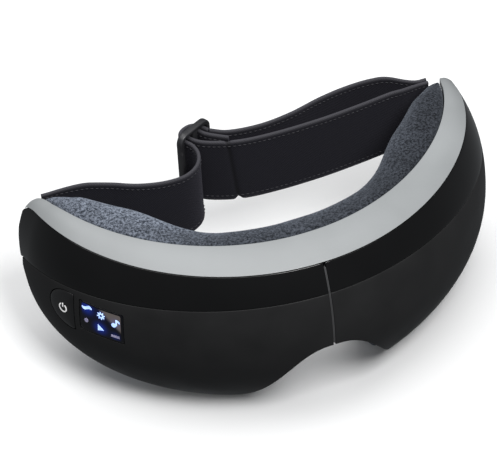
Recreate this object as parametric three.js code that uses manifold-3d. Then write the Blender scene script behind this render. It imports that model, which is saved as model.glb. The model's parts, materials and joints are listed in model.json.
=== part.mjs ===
// Foldable eye massager mask: two curved half housings joined by a twin-pin hinge at the bridge of the
// nose, a soft rim and face cushion, air cells, heaters, motors and electronics inside, and a head strap
// with a three-bar slider. Millimetres, +Z up, the front of the mask faces -Y, the face goes in from +Y.
import * as THREE from 'three';
import * as BufferGeometryUtils from 'three/addons/utils/BufferGeometryUtils.js';
import Module from 'manifold-3d';

const wasm = await Module();
wasm.setup();

// ---- driving dimensions -------------------------------------------------------------------------
const HALF_WIDTH = 100; // half the width across the temples
const NOSE_DEPTH = 84.9; // how far the front curve runs back before the arms go straight
const PLAN_POWER = 1.835; // power of the superellipse that the front follows, seen from above
const ARM_REACH = 156; // length along the front curve from the bridge to the tip of an arm
const TOP_RISE = 35.1; // top edge above the widest level, at the bridge
const CHEEK_DROP = 44.2; // bottom edge below the widest level, before the nose is cut out
const TIP_RISE = 24.1; // level of the tip of an arm
const NOSE_RISE = 41.4; // height of the nose cut-out
const NOSE_WIDTH = 30.4; // half width of the nose cut-out
const REST_LEVEL = -40.6; // level of the cushion's flat feet
const WALL = 2; // housing wall
const GAP = 0.3; // clearance between neighbours
const SEAM = 0.4; // half the slit between the two halves
const LIP = 7; // bottom lip of a housing
const EYE_LEVEL = 3; // middle of the heaters and air cells
const HINGE_X = 4.5; // each pin from the middle
const HINGE_Y = 9.6; // pins behind the front
const HINGE_LOW = 3.5;
const HINGE_HIGH = 23.5;
const PIN_RADIUS = 1.5;
const KNUCKLE_RADIUS = 2.5;
const KNUCKLE_LOW = 8; // half housing knuckles, between the plates of the link
const KNUCKLE_HIGH = 18;
const FOLD_CLEAR = 15; // rigid parts behind the pins stay this far from the middle
const STRAP_WIDTH = 32;
const STRAP_THICK = 1.5;
const GATHER = { size: 3.6, from: 66, to: 84 }; // each border of the strap draws in towards the anchors
const BUTTON = { at: -112.5, left: -124, right: -110.4, round: 11.8, half: 9.2, level: 4.6 };
const LENS = { left: -107.2, right: -86.4, low: -1.6, high: 13.3 };
const LEAF_SCREW_X = 16;
const LEAF_SCREW_LEVELS = [10.3, 15.7];
const LEAF_THICK = 1.6;
const PORT = { at: 104, sunk: 12.2, width: 9, depth: 3.4, length: 7, tilt: 0.38 };
const PUMP = { at: 42, sunk: 15.5, level: 13, radius: 7, length: 24 };
const VALVE = { at: 42, sunk: 14.5, level: -10 };
const MOTOR = { at: 129, sunk: 10.4, level: 11, radius: 3.5, length: 13 };
const SLIDER = { x: -17, y: 107, turn: 0.49, bar: 2.6, rail: 1.3, half: 9.2, margin: 3, thick: 3 };
const JAW = { inner: 82.5, outer: 89, front: 97.8, back: 104.6, wall: 1.2, low: 8, high: 22 };
const TONGUE = { x: 87.8, thick: 1.5, low: 12, high: 20, length: 10.5 };

// ---- materials ----------------------------------------------------------------------------------
const finish = (color, roughness, metalness = 0) => () =>
  new THREE.MeshStandardMaterial({ color, roughness, metalness });
const mattePlastic = finish(0x1b1b1d, 0.55);
const glossPlastic = finish(0x0c0c0d, 0.12);
const softRubber = finish(0xb3b7ba, 0.5);
const velvet = finish(0x474c55, 0.95);
const webbing = finish(0x1b1b20, 0.85);
const framePlastic = finish(0x3a3c40, 0.6);
const airFilm = finish(0xc9ccd2, 0.4);
const heaterFilm = finish(0xb4702c, 0.5);
const steel = finish(0x9b9ea3, 0.3, 1);
const brass = finish(0xb08a45, 0.35, 1);
const boardGreen = finish(0x1f5a37, 0.5);
const cellWrap = finish(0x6c7a8c, 0.45);
const screenGlass = finish(0x101522, 0.08);

// ---- the surface of the mask --------------------------------------------------------------------
const clamp = (value, low, high) => Math.min(high, Math.max(low, value));
const lean = (from, to, share) => from + (to - from) * share;
const smooth = (value, low, high) => {
  const t = clamp((value - low) / (high - low), 0, 1);
  return t * t * (3 - 2 * t);
};

// The front curve seen from above, as points and the length of curve up to each.
const curve = (() => {
  const points = [];
  const lengths = [0];
  const samples = 240;
  for (let i = 0; i <= samples; i += 1) {
    const angle = (Math.PI / 2) * (i / samples);
    const x = HALF_WIDTH * Math.sin(angle) ** (2 / PLAN_POWER);
    const y = NOSE_DEPTH * (1 - Math.max(0, Math.cos(angle)) ** (2 / PLAN_POWER));
    points.push(new THREE.Vector2(x, y));
  }
  points.push(new THREE.Vector2(HALF_WIDTH, NOSE_DEPTH + 60));
  for (let i = 1; i < points.length; i += 1) lengths.push(lengths[i - 1] + points[i].distanceTo(points[i - 1]));
  return { points, lengths };
})();

function curvePoint(length) {
  let i = 1;
  while (i < curve.points.length - 1 && curve.lengths[i] < length) i += 1;
  const t = (length - curve.lengths[i - 1]) / (curve.lengths[i] - curve.lengths[i - 1]);
  return curve.points[i - 1].clone().lerp(curve.points[i], t);
}

// Point and heading of the front curve at the signed length u from the bridge.
function plan(u) {
  const side = Math.sign(u) || 1;
  const step = 0.8;
  const here = curvePoint(Math.abs(u));
  const ahead = curvePoint(Math.abs(u) + step);
  const behind = curvePoint(Math.max(0, Math.abs(u) - step));
  const turn = Math.atan2(ahead.y - behind.y, ahead.x - behind.x);
  const square = smooth(Math.abs(u), SEAM, 12); // sections lie square to the seam at the bridge
  return { x: side * here.x, y: here.y, heading: side * turn * square };
}

// Point at length u, sunk by depth towards the face, at level z.
function place(u, depth, z) {
  const p = plan(u);
  return new THREE.Vector3(p.x - depth * Math.sin(p.heading), p.y + depth * Math.cos(p.heading), z);
}

const reach = (u) => clamp(Math.abs(u) / ARM_REACH, 0, 1);
const topEdge = (u) => TOP_RISE * Math.sqrt(1 - reach(u) ** 1.571) + TIP_RISE * reach(u) ** 2;
const cheekEdge = (u) => -CHEEK_DROP * Math.sqrt(1 - reach(u) ** 3.763) + TIP_RISE * reach(u) ** 2;
const bottomEdge = (u) => cheekEdge(u) + NOSE_RISE * Math.exp(-(Math.abs(u / NOSE_WIDTH) ** 2.5));
const bandEdge = (u) => topEdge(u) - (12.2 + 12.1 * reach(u) ** 2);
const inset = (z) => (z > 0 ? 8.2 * (z / TOP_RISE) ** 2.2 : 21.95 * (-z / CHEEK_DROP) ** 2.2);
const rimRise = (u) => topEdge(u) + 4.1 - 0.7 * reach(u) ** 2;
const rimDepth = (u) => inset(rimRise(u)) + 13.2 - 9.6 * reach(u) ** 2;
const faceLevel = (u) => topEdge(u) - 5.5;
const faceDepth = (u) => inset(faceLevel(u)) + 36.4 - 23 * reach(u) ** 2;
const frameBack = (u) => faceDepth(u) - 12 + 6 * reach(u) ** 2;
const pocket = (u) => 6 * (1 - reach(u) ** 2);
const temple = (u) => smooth(reach(u), 0.3, 0.7) * (1 - smooth(reach(u), 0.9, 1)); // deeper padding there
const padBack = (u) => faceDepth(u) - 1 + 9 * temple(u);
const hemSize = (u) => Math.min(7, (faceLevel(u) - padBottom(u)) * 0.3);
const lipDepth = (u) => inset(bottomEdge(u)) + LIP * (1 - 0.5 * reach(u) ** 4);
const footShare = (u) => smooth(Math.abs(u), 28, 42) * (1 - smooth(Math.abs(u), 80, 98));
const padBottom = (u) => lean(bottomEdge(u) - GAP, REST_LEVEL, footShare(u));

// ---- geometry helpers ---------------------------------------------------------------------------
function signedVolume(positions, index) {
  const [a, b, c] = [new THREE.Vector3(), new THREE.Vector3(), new THREE.Vector3()];
  let sum = 0;
  for (let i = 0; i < index.length; i += 3) {
    a.fromArray(positions, index[i] * 3);
    b.fromArray(positions, index[i + 1] * 3);
    c.fromArray(positions, index[i + 2] * 3);
    sum += a.dot(b.cross(c));
  }
  return sum / 6;
}

function closedGeometry(positions, index) {
  if (signedVolume(positions, index) < 0) {
    for (let i = 0; i < index.length; i += 3) [index[i], index[i + 1]] = [index[i + 1], index[i]];
  }
  const geometry = new THREE.BufferGeometry();
  geometry.setAttribute('position', new THREE.Float32BufferAttribute(positions, 3));
  geometry.setIndex(index);
  geometry.computeVertexNormals();
  return geometry;
}

// Joins sections, each a ring of points with its flat outline, into one closed body.
function loftRings(rings, outlines) {
  const count = rings[0].length;
  const positions = rings.flat().flatMap((p) => [p.x, p.y, p.z]);
  const index = [];
  for (let r = 0; r < rings.length - 1; r += 1) {
    for (let k = 0; k < count; k += 1) {
      const a = r * count + k;
      const b = r * count + ((k + 1) % count);
      index.push(a, b, b + count, a, b + count, a + count);
    }
  }
  const addCap = (ring, backwards) => {
    const outline = outlines[ring].map(([d, z]) => new THREE.Vector2(d, z));
    const turn = Math.sign(THREE.ShapeUtils.area(outline));
    for (const [a, b, c] of THREE.ShapeUtils.triangulateShape(outline, [])) {
      const same = Math.sign(THREE.ShapeUtils.area([outline[a], outline[b], outline[c]])) === turn;
      const face = [a, b, c].map((k) => k + ring * count);
      index.push(...(same === backwards ? face : face.reverse()));
    }
  };
  addCap(0, false);
  addCap(rings.length - 1, true);
  return closedGeometry(positions, index);
}

// A body along the front curve; outline(u) gives its section as [depth, level] pairs.
function loft(from, to, steps, outline) {
  const rings = [];
  const outlines = [];
  for (let i = 0; i <= steps; i += 1) {
    const share = 1 - (1 - i / steps) ** 1.35;
    const u = from + (to - from) * share;
    outlines.push(outline(u));
    rings.push(outlines[i].map(([depth, z]) => place(u, depth, z)));
  }
  return loftRings(rings, outlines);
}

// A section that follows the housing's skin between two levels and two depths below it.
function skinOutline(low, high, outer, inner, rows) {
  const levels = Array.from({ length: rows + 1 }, (_, i) => high + ((low - high) * i) / rows);
  return [
    ...levels.map((z) => [inset(z) + outer, z]),
    ...levels.reverse().map((z) => [inset(z) + inner, z]),
  ];
}

// A body of a plate outline seen from above, standing between two levels.
function standing(shape, low, high, curveSegments = 6) {
  const geometry = new THREE.ExtrudeGeometry(shape, {
    depth: high - low, bevelEnabled: false, curveSegments, steps: 1,
  });
  return geometry.translate(0, 0, low);
}

// Webbing along a smooth path seen from above. It stands on edge, and gathers to fit the anchors.
function webbingBody(path, steps) {
  const line = new THREE.CatmullRomCurve3(path.map(([x, y]) => new THREE.Vector3(x, y, 0)), false, 'centripetal');
  const outline = [[-1, 0], [1, 0], [1, 1], [-1, 1]];
  const rings = Array.from({ length: steps + 1 }, (_, i) => {
    const p = line.getPointAt(i / steps);
    const t = line.getTangentAt(i / steps);
    const taken = GATHER.size * smooth(Math.abs(p.x), GATHER.from, GATHER.to);
    return outline.map(([side, top]) => new THREE.Vector3(
      p.x - (side * t.y * STRAP_THICK) / 2, p.y + (side * t.x * STRAP_THICK) / 2,
      top ? STRAP_WIDTH - taken : taken,
    ));
  });
  return loftRings(rings, rings.map(() => outline));
}

function roundedRect(width, height, radius) {
  const [x, y] = [width / 2, height / 2];
  const shape = new THREE.Shape();
  shape.moveTo(-x + radius, -y);
  shape.lineTo(x - radius, -y);
  shape.absarc(x - radius, -y + radius, radius, -Math.PI / 2, 0, false);
  shape.lineTo(x, y - radius);
  shape.absarc(x - radius, y - radius, radius, 0, Math.PI / 2, false);
  shape.lineTo(-x + radius, y);
  shape.absarc(-x + radius, y - radius, radius, Math.PI / 2, Math.PI, false);
  shape.lineTo(-x, -y + radius);
  shape.absarc(-x + radius, -y + radius, radius, Math.PI, Math.PI * 1.5, false);
  return shape;
}

const upright = (radius, height, sides = 16) =>
  new THREE.CylinderGeometry(radius, radius, height, sides).rotateX(Math.PI / 2);
const lying = (radius, length, sides = 16) =>
  new THREE.CylinderGeometry(radius, radius, length, sides).rotateZ(Math.PI / 2);
const across = (radius, length, sides = 12) => new THREE.CylinderGeometry(radius, radius, length, sides);

function tube(points, radius, steps, sides = 8) {
  const section = new THREE.Shape(Array.from({ length: sides }, (_, i) => {
    const angle = (i / sides) * Math.PI * 2;
    return new THREE.Vector2(radius * Math.cos(angle), radius * Math.sin(angle));
  }));
  const path = new THREE.CatmullRomCurve3(points, false, 'centripetal');
  return new THREE.ExtrudeGeometry(section, { extrudePath: path, steps, bevelEnabled: false });
}

// Turns a geometry made about the origin to stand at length u, depth and level, X along the housing.
function seat(geometry, u, depth, z, tilt = 0) {
  const at = place(u, depth, z);
  return geometry.rotateY(tilt).rotateZ(plan(u).heading).translate(at.x, at.y, at.z);
}

function solid(geometry) {
  const plain = geometry.clone();
  plain.deleteAttribute('normal');
  plain.deleteAttribute('uv');
  const merged = BufferGeometryUtils.mergeVertices(plain, 1e-4);
  return new wasm.Manifold(new wasm.Mesh({
    numProp: 3,
    vertProperties: new Float32Array(merged.attributes.position.array),
    triVerts: new Uint32Array(merged.index.array),
  }));
}

function fromSolid(body) {
  const mesh = body.getMesh();
  const geometry = new THREE.BufferGeometry();
  geometry.setAttribute('position', new THREE.BufferAttribute(mesh.vertProperties, 3));
  geometry.setIndex(new THREE.BufferAttribute(mesh.triVerts, 1));
  geometry.computeVertexNormals();
  return geometry;
}

const join = (...parts) => fromSolid(parts.map(solid).reduce((whole, part) => whole.add(part)));
const cut = (geometry, ...holes) =>
  fromSolid(holes.map(solid).reduce((whole, hole) => whole.subtract(hole), solid(geometry)));

const mask = new THREE.Group();
function piece(name, geometry, material) {
  const mesh = new THREE.Mesh(geometry, material());
  mesh.name = name;
  mask.add(mesh);
}

// ---- button and lens openings -------------------------------------------------------------------
const buttonHalf = (u, grow) => {
  const round = BUTTON.round + grow;
  const share = clamp((BUTTON.at - u) / round, 0, 1);
  return (BUTTON.half + grow) * Math.sqrt(Math.max(0.02, 1 - share ** 2));
};

function buttonBlock(outer, inner, grow) {
  return loft(BUTTON.right + grow, BUTTON.left - grow, 8, (u) =>
    skinOutline(BUTTON.level - buttonHalf(u, grow), BUTTON.level + buttonHalf(u, grow), outer, inner, 4));
}

const lensBlock = (outer, inner, grow) =>
  loft(LENS.right + grow, LENS.left - grow, 6, () =>
    skinOutline(LENS.low - grow, LENS.high + grow, outer, inner, 3));

// ---- one half of the mask -----------------------------------------------------------------------
function frontShell(side) {
  const shell = loft(side * SEAM, side * ARM_REACH * 0.955, 26, (u) => {
    const low = bottomEdge(u);
    const high = bandEdge(u) - GAP / 2;
    const levels = Array.from({ length: 9 }, (_, i) => high + ((low - high) * i) / 8);
    return [
      ...levels.map((z) => [inset(z), z]),
      [lipDepth(u), low],
      [lipDepth(u), low + WALL * 0.8],
      [inset(low + WALL) + WALL, low + WALL * 0.8],
      ...levels.slice(0, 7).reverse().map((z) => [inset(z) + WALL, z]),
    ];
  });
  const bosses = LEAF_SCREW_LEVELS.map((z) => across(2.4, 4).translate(side * LEAF_SCREW_X, HINGE_Y - 3.1, z));
  const bores = LEAF_SCREW_LEVELS.map((z) => across(1.3, 4).translate(side * LEAF_SCREW_X, HINGE_Y - 1.6, z));
  const built = cut(join(shell, ...bosses), ...bores);
  if (side < 0) return cut(built, buttonBlock(-3, 6, 0.4), lensBlock(-3, 6, 0.3));
  const slot = standing(roundedRect(PORT.width + 1, PORT.depth + 1, 2.1), -5, 5, 3);
  return cut(built, seat(slot, PORT.at, PORT.sunk, bottomEdge(PORT.at), -PORT.tilt));
}

function glossBand(side) {
  return loft(side * SEAM, side * ARM_REACH * 0.998, 24, (u) =>
    skinOutline(Math.max(bandEdge(u) + GAP / 2, bottomEdge(u)), topEdge(u), 0, WALL, 3));
}

function softRim(side) {
  return loft(side * SEAM * 0.5, side * ARM_REACH * 0.99, 26, (u) => {
    const edge = inset(topEdge(u));
    const low = topEdge(u) + GAP;
    const drop = lean(topEdge(u) - 5, bottomEdge(u) + 1, smooth(reach(u), 0.955, 0.985));
    const crown = Array.from({ length: 6 }, (_, i) => {
      const t = i / 5;
      const lift = 0.9 * Math.sin(Math.PI * t) + (rimRise(u) - low) * t;
      return [lean(edge, rimDepth(u), t), low + lift];
    });
    return [
      ...crown,
      [rimDepth(u), rimRise(u) - 3.2],
      [edge + 4.4, topEdge(u) - 1.8],
      [edge + 4.4, drop],
      [edge + WALL + 0.5, drop],
      [edge + WALL + 0.5, low],
    ];
  });
}

// The side of the cushion that touches the face: its crown, its face and its round foot.
function faceOutline(u) {
  const [front, back, face] = [rimDepth(u) + GAP, padBack(u), faceLevel(u)];
  const [high, low, hem] = [rimRise(u) - GAP, padBottom(u), hemSize(u)];
  const crown = [0, 1, 2, 3, 4].map((i) => {
    const turn = (Math.PI / 2) * (i / 4);
    const puff = 3 * temple(u) * Math.sin(2 * turn);
    return [front + (back - front) * Math.sin(turn), face + (high - face) * Math.cos(turn) + puff];
  });
  const foot = [0, 1, 2, 3].map((i) => {
    const turn = (Math.PI / 2) * (i / 3);
    return [back - hem * (1 - Math.cos(turn)), low + hem * (1 - Math.sin(turn))];
  });
  const waist = 1.5 * (1 - reach(u) ** 2) - 2.5 * temple(u);
  return [...crown, [back - waist, (face + low) / 2], ...foot];
}

function faceCushion(side) {
  return loft(side * SEAM * 0.5, side * ARM_REACH * 0.962, 24, (u) => {
    const [low, hem, held] = [padBottom(u), hemSize(u), frameBack(u) + GAP + 0.1];
    return [
      ...faceOutline(u),
      [lipDepth(u) + GAP, low],
      [lipDepth(u) + GAP, low + hem * 0.7],
      [held, low + hem],
      [held + pocket(u), low + hem + 2],
      [held + pocket(u), faceLevel(u) - 3],
      [held, faceLevel(u) - 1],
      [Math.min(rimDepth(u) + GAP, held), rimRise(u) - GAP - 4],
    ];
  });
}

// The plate that closes the end of an arm behind the cushion, with the slot of the strap anchor.
function armCap(side) {
  const plate = loft(side * ARM_REACH * 0.966, side * ARM_REACH * 0.989, 6, (u) => {
    const front = inset(topEdge(u)) + 4.8;
    const shoulder = [rimDepth(u) + GAP, rimRise(u) - 3.8];
    const outer = [...faceOutline(u), [front, padBottom(u)], [front, topEdge(u) - 2.3], shoulder];
    const middle = [(front + padBack(u)) / 2, (topEdge(u) + padBottom(u)) / 2];
    const drawn = 0.93 - 0.14 * smooth(reach(u), 0.966, 0.989);
    return outer.map(([depth, z]) => [Math.max(front, lean(middle[0], depth, drawn)), lean(middle[1], z, drawn)]);
  });
  const height = TONGUE.high - TONGUE.low + 2 * GAP;
  const slot = new THREE.BoxGeometry(TONGUE.thick + 2 * GAP, 20, height)
    .translate(side * TONGUE.x, 94, (TONGUE.high + TONGUE.low) / 2);
  return cut(plate, slot);
}

function innerFrame(side) {
  return loft(side * FOLD_CLEAR, side * ARM_REACH * 0.925, 20, (u) => {
    const low = padBottom(u) + hemSize(u) + 1.8;
    const high = faceLevel(u) - 2.2;
    return [[frameBack(u) - 1.8, high], [frameBack(u) - 1.8, low], [frameBack(u), low], [frameBack(u), high]];
  });
}

// A thin sheet or cell on the back of the frame in front of one eye, with its rounded eye outline.
function eyeLayer(side, from, to, near, far, height) {
  const middle = (from + to) / 2;
  const half = (to - from) / 2;
  return loft(side * from, side * to, 10, (u) => {
    const share = clamp((Math.abs(u) - middle) / half, -0.97, 0.97);
    const tall = height * Math.sqrt(1 - Math.abs(share) ** 2.6);
    const [front, back] = [frameBack(u) + near, frameBack(u) + far(u)];
    return [
      [front, EYE_LEVEL + tall], [front, EYE_LEVEL - tall],
      [back, EYE_LEVEL - tall * 0.85], [back, EYE_LEVEL + tall * 0.85],
    ];
  });
}

// ---- hinge --------------------------------------------------------------------------------------
function hingeLink() {
  const outline = new THREE.Shape();
  outline.absarc(HINGE_X, HINGE_Y, KNUCKLE_RADIUS, -Math.PI / 2, Math.PI / 2, false);
  outline.absarc(-HINGE_X, HINGE_Y, KNUCKLE_RADIUS, Math.PI / 2, Math.PI * 1.5, false);
  const bars = [[HINGE_LOW, KNUCKLE_LOW - GAP], [KNUCKLE_HIGH + GAP, HINGE_HIGH]];
  const plates = bars.map(([low, high]) => standing(outline, low, high, 8));
  const web = new THREE.BoxGeometry(2.4, 3.6, HINGE_HIGH - HINGE_LOW - 1)
    .translate(0, HINGE_Y, (HINGE_LOW + HINGE_HIGH) / 2);
  const bores = [-1, 1].map((side) => upright(PIN_RADIUS + GAP, 40).translate(side * HINGE_X, HINGE_Y, 12));
  return cut(join(...plates, web), ...bores);
}

function hingePin(side) {
  const height = HINGE_HIGH - HINGE_LOW + 1.6;
  return upright(PIN_RADIUS, height).translate(side * HINGE_X, HINGE_Y, (HINGE_HIGH + HINGE_LOW) / 2);
}

function hingeLeaf(side) {
  const height = KNUCKLE_HIGH - KNUCKLE_LOW;
  const middle = (KNUCKLE_HIGH + KNUCKLE_LOW) / 2;
  const knuckle = upright(KNUCKLE_RADIUS, height, 20).translate(side * HINGE_X, HINGE_Y, middle);
  const plate = new THREE.BoxGeometry(15, LEAF_THICK, height)
    .translate(side * (HINGE_X + 8.4), HINGE_Y + 0.6, middle);
  const bore = upright(PIN_RADIUS + GAP, 40).translate(side * HINGE_X, HINGE_Y, middle);
  const screwHoles = LEAF_SCREW_LEVELS.map((z) => across(1.3, 6).translate(side * LEAF_SCREW_X, HINGE_Y, z));
  return cut(join(knuckle, plate), bore, ...screwHoles);
}

function leafScrew(side, z) {
  const back = HINGE_Y + 0.6 + LEAF_THICK / 2 + 0.2;
  const profile = [[0, -3.4], [0.95, -3.4], [0.95, 0], [2, 0], [2, 0.7], [1.2, 1.3], [0, 1.3]];
  const shape = new THREE.LatheGeometry(profile.map(([r, y]) => new THREE.Vector2(r, y)), 12);
  return shape.translate(side * LEAF_SCREW_X, back, z);
}

function foldSeal(side) {
  const near = side * 0.06;
  const far = side * (SEAM - 0.05);
  const levels = Array.from({ length: 9 }, (_, i) => -1.5 + (TOP_RISE - 0.7) * (i / 8));
  const ring = (x) => [
    ...levels.map((z) => new THREE.Vector3(x, inset(z) + 0.35, z)),
    ...[...levels].reverse().map((z) => new THREE.Vector3(x, inset(z) + 1.7, z)),
  ];
  const outline = ring(0).map((p) => [p.y, p.z]);
  return loftRings([ring(near), ring(far)], [outline, outline]);
}

// ---- head strap ---------------------------------------------------------------------------------
// Point of the slider's own frame, s along its width and t towards the back.
function onSlider(s, t) {
  const [c, n] = [Math.cos(SLIDER.turn), Math.sin(SLIDER.turn)];
  return [SLIDER.x + s * c - t * n, SLIDER.y + s * n + t * c];
}

const strapPaths = {
  strap_left: [[-86, 101.2], [-80, 100.6], [-70, 97], [-59, 92], [-49, 86.5], [-38, 83.4], [-29, 83.8],
    [-22.6, 88], [-19.6, 94.5], onSlider(-5.7, -4.5), onSlider(-5.5, 0), onSlider(-3.9, 3.9), onSlider(0, 5.2),
    onSlider(3.9, 3.9), onSlider(5.5, 0), onSlider(5.8, -3.4)],
  strap_outer: [onSlider(6, -3.9), [-4, 102.6], [10, 100.4], [24, 101.8], [39, 105.6], [50, 107.4], [61, 107.8],
    [70, 106.4], [77, 103.6], [81.5, 102.3], [86, 102.2]],
  strap_inner: [[86, 100.1], [82, 100], [77, 98.6], [72, 96.9], [62, 95.5], [48, 94], [34, 93], [14, 93], [0, 94.4],
    [-9, 97.2], onSlider(-2.2, -5.2), onSlider(-2.9, 0), onSlider(-2.3, 2.3), onSlider(0, 3.1),
    onSlider(2.3, 2.3), onSlider(2.9, 0), onSlider(3.2, -3.8), [-8, 101.4], [-4.5, 98.8]],
};

function strapJaw(side) {
  const shape = new THREE.Shape();
  const [x0, x1] = [side * JAW.inner, side * JAW.outer];
  const slot = side * (JAW.outer - JAW.wall);
  shape.moveTo(x0, JAW.front);
  shape.lineTo(x1, JAW.front);
  shape.lineTo(x1, JAW.back);
  shape.lineTo(x0, JAW.back);
  shape.lineTo(x0, JAW.back - JAW.wall);
  shape.lineTo(slot, JAW.back - JAW.wall);
  shape.lineTo(slot, JAW.front + JAW.wall);
  shape.lineTo(x0, JAW.front + JAW.wall);
  const jaw = standing(shape, JAW.low, JAW.high);
  const tongue = new THREE.BoxGeometry(TONGUE.thick, TONGUE.length, TONGUE.high - TONGUE.low)
    .translate(side * TONGUE.x, JAW.front - 4.9, (TONGUE.high + TONGUE.low) / 2);
  return join(jaw, tongue);
}

function strapSlider() {
  const height = STRAP_WIDTH + 2 * SLIDER.margin;
  const frame = standing(roundedRect(SLIDER.half * 2, height, 4), -SLIDER.thick / 2, SLIDER.thick / 2);
  const window = SLIDER.half - SLIDER.bar - SLIDER.rail;
  const windows = [-1, 1].map((side) =>
    new THREE.BoxGeometry(window, STRAP_WIDTH + 1.2, 10).translate(side * (SLIDER.rail + window / 2), 0, 0));
  return cut(frame, ...windows).rotateX(Math.PI / 2).rotateZ(SLIDER.turn)
    .translate(SLIDER.x, SLIDER.y, STRAP_WIDTH / 2);
}

// ---- electronics --------------------------------------------------------------------------------
function chargingPort() {
  const shell = standing(roundedRect(PORT.width, PORT.depth, 1.6), 0, PORT.length, 3);
  const mouth = standing(roundedRect(PORT.width - 0.8, PORT.depth - 0.8, 1.2), -1, PORT.length - 1, 3);
  const tongue = new THREE.BoxGeometry(6, 0.7, PORT.length - 1).translate(0, 0, PORT.length / 2 + 0.5);
  const port = join(cut(shell, mouth), tongue);
  return seat(port.translate(0, 0, 0.2), PORT.at, PORT.sunk, bottomEdge(PORT.at), -PORT.tilt);
}

function controlBoard() {
  const board = new THREE.BoxGeometry(42, 1.2, 28);
  const chips = [[-11, 5, 9, 9], [6, 6, 7, 6], [13, -6, 6, 8], [-4, -8, 10, 5]];
  const bodies = chips.map(([x, z, w, h]) => new THREE.BoxGeometry(w, 1.8, h).translate(x, 1.2, z));
  return seat(join(board, ...bodies), -68, 13, 5);
}

function batteryCell() {
  const cell = new THREE.ExtrudeGeometry(roundedRect(42, 28, 2), { depth: 6.4, bevelEnabled: false,
    curveSegments: 3 });
  return seat(cell.rotateX(Math.PI / 2).translate(0, 3.2, 0), 86, 12.6, 3);
}

function pumpBody() {
  const body = lying(PUMP.radius, PUMP.length, 20);
  const head = new THREE.BoxGeometry(6, 15, 15).translate(-PUMP.length / 2 + 2, 0, 0);
  return seat(join(body, head), PUMP.at, PUMP.sunk, PUMP.level);
}

function pumpCrank() {
  const disc = lying(4.6, 1.6, 16);
  const throwPin = lying(1, 2.6, 8).translate(1.6, 0, 2.8);
  return seat(join(disc, throwPin).translate(PUMP.length / 2 + 1.2, 0, 0), PUMP.at, PUMP.sunk, PUMP.level);
}

function valveBody() {
  const block = new THREE.BoxGeometry(12, 9, 12);
  const bore = upright(1.9, 10, 12).translate(0, 0, -2.5);
  return seat(cut(block, bore), VALVE.at, VALVE.sunk, VALVE.level);
}

const valvePlunger = () =>
  seat(join(upright(1.5, 9, 12), upright(3, 1.2, 12).translate(0, 0, -4.6)), VALVE.at, VALVE.sunk, VALVE.level - 5);

function motorBody(side) {
  return seat(upright(MOTOR.radius, MOTOR.length, 18), side * MOTOR.at, MOTOR.sunk, MOTOR.level);
}

function motorWeight(side) {
  const half = new THREE.Shape();
  half.absarc(0, 0, 2.9, 0, Math.PI, false);
  half.absarc(0, 0, 1, Math.PI, Math.PI * 2, false);
  const level = MOTOR.level + MOTOR.length / 2 + 0.5;
  return seat(standing(half, 0, 3.6, 8), side * MOTOR.at, MOTOR.sunk, level);
}

const displayPanel = () => seat(new THREE.BoxGeometry(21, 2.2, 14), -96.8, 4.6, 6);
const tactSwitch = () => seat(join(new THREE.BoxGeometry(6, 3, 6), across(1.6, 1.4).translate(0, -2, 0)),
  -116.5, 6.2, BUTTON.level);
const speaker = () => seat(join(across(9, 3, 24), across(5.5, 5, 20).translate(0, 1.6, 0)), -38, 15, 10);
const airHose = () => tube([place(38, 20.4, -9), place(36, 22, -8), place(33, 23.2, -2), place(30, 24.4, 3)],
  1.5, 8);
const bridgeHose = () => tube([place(24, 18.6, 22), place(12, 19.5, 25), place(0, 19.5, 26),
  place(-12, 19.5, 25), place(-24, 18.6, 22)], 1.4, 12);
const bridgeCable = () => tube([place(24, 16, 27.5), place(10, 16.6, 29), place(0, 16.6, 29.4),
  place(-10, 16.6, 29), place(-24, 16, 27.5)], 0.9, 12);

// ---- assembly -----------------------------------------------------------------------------------
for (const [hand, side] of [['left', -1], ['right', 1]]) {
  piece(`front_shell_${hand}`, frontShell(side), mattePlastic);
  piece(`gloss_band_${hand}`, glossBand(side), glossPlastic);
  piece(`soft_rim_${hand}`, softRim(side), softRubber);
  piece(`face_cushion_${hand}`, faceCushion(side), velvet);
  piece(`inner_frame_${hand}`, innerFrame(side), framePlastic);
  piece(`arm_cap_${hand}`, armCap(side), framePlastic);
  piece(`heater_film_${hand}`, eyeLayer(side, 20, 66, GAP, () => 0.9, 13), heaterFilm);
  piece(`air_cell_${hand}`, eyeLayer(side, 19, 67, 1.2, (u) => pocket(u) - GAP, 14), airFilm);
  piece(`hinge_leaf_${hand}`, hingeLeaf(side), steel);
  piece(`hinge_pin_${hand}`, hingePin(side), steel);
  piece(`fold_seal_${hand}`, foldSeal(side), softRubber);
  LEAF_SCREW_LEVELS.forEach((z, i) => piece(`leaf_screw_${hand}_${i + 1}`, leafScrew(side, z), steel));
  piece(`vibration_motor_${hand}`, motorBody(side), steel);
  piece(`motor_weight_${hand}`, motorWeight(side), brass);
  piece(`strap_anchor_${hand}`, strapJaw(side), framePlastic);
}
piece('hinge_link', hingeLink(), steel);
piece('power_button', buttonBlock(-0.35, 1.9, 0), mattePlastic);
piece('button_switch', tactSwitch(), framePlastic);
piece('display_lens', lensBlock(0, 1.5, 0), screenGlass);
piece('display_panel', displayPanel(), boardGreen);
piece('control_board', controlBoard(), boardGreen);
piece('speaker', speaker(), steel);
piece('battery_cell', batteryCell(), cellWrap);
piece('charging_port', chargingPort(), steel);
piece('pump_body', pumpBody(), steel);
piece('pump_crank', pumpCrank(), framePlastic);
piece('valve_body', valveBody(), framePlastic);
piece('valve_plunger', valvePlunger(), brass);
piece('air_hose', airHose(), airFilm);
piece('bridge_hose', bridgeHose(), airFilm);
piece('bridge_cable', bridgeCable(), framePlastic);
const strapSteps = { strap_left: 44, strap_outer: 26, strap_inner: 44 };
for (const [name, path] of Object.entries(strapPaths)) {
  piece(name, webbingBody(path, strapSteps[name]), webbing);
}
piece('strap_slider', strapSlider(), mattePlastic);

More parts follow.
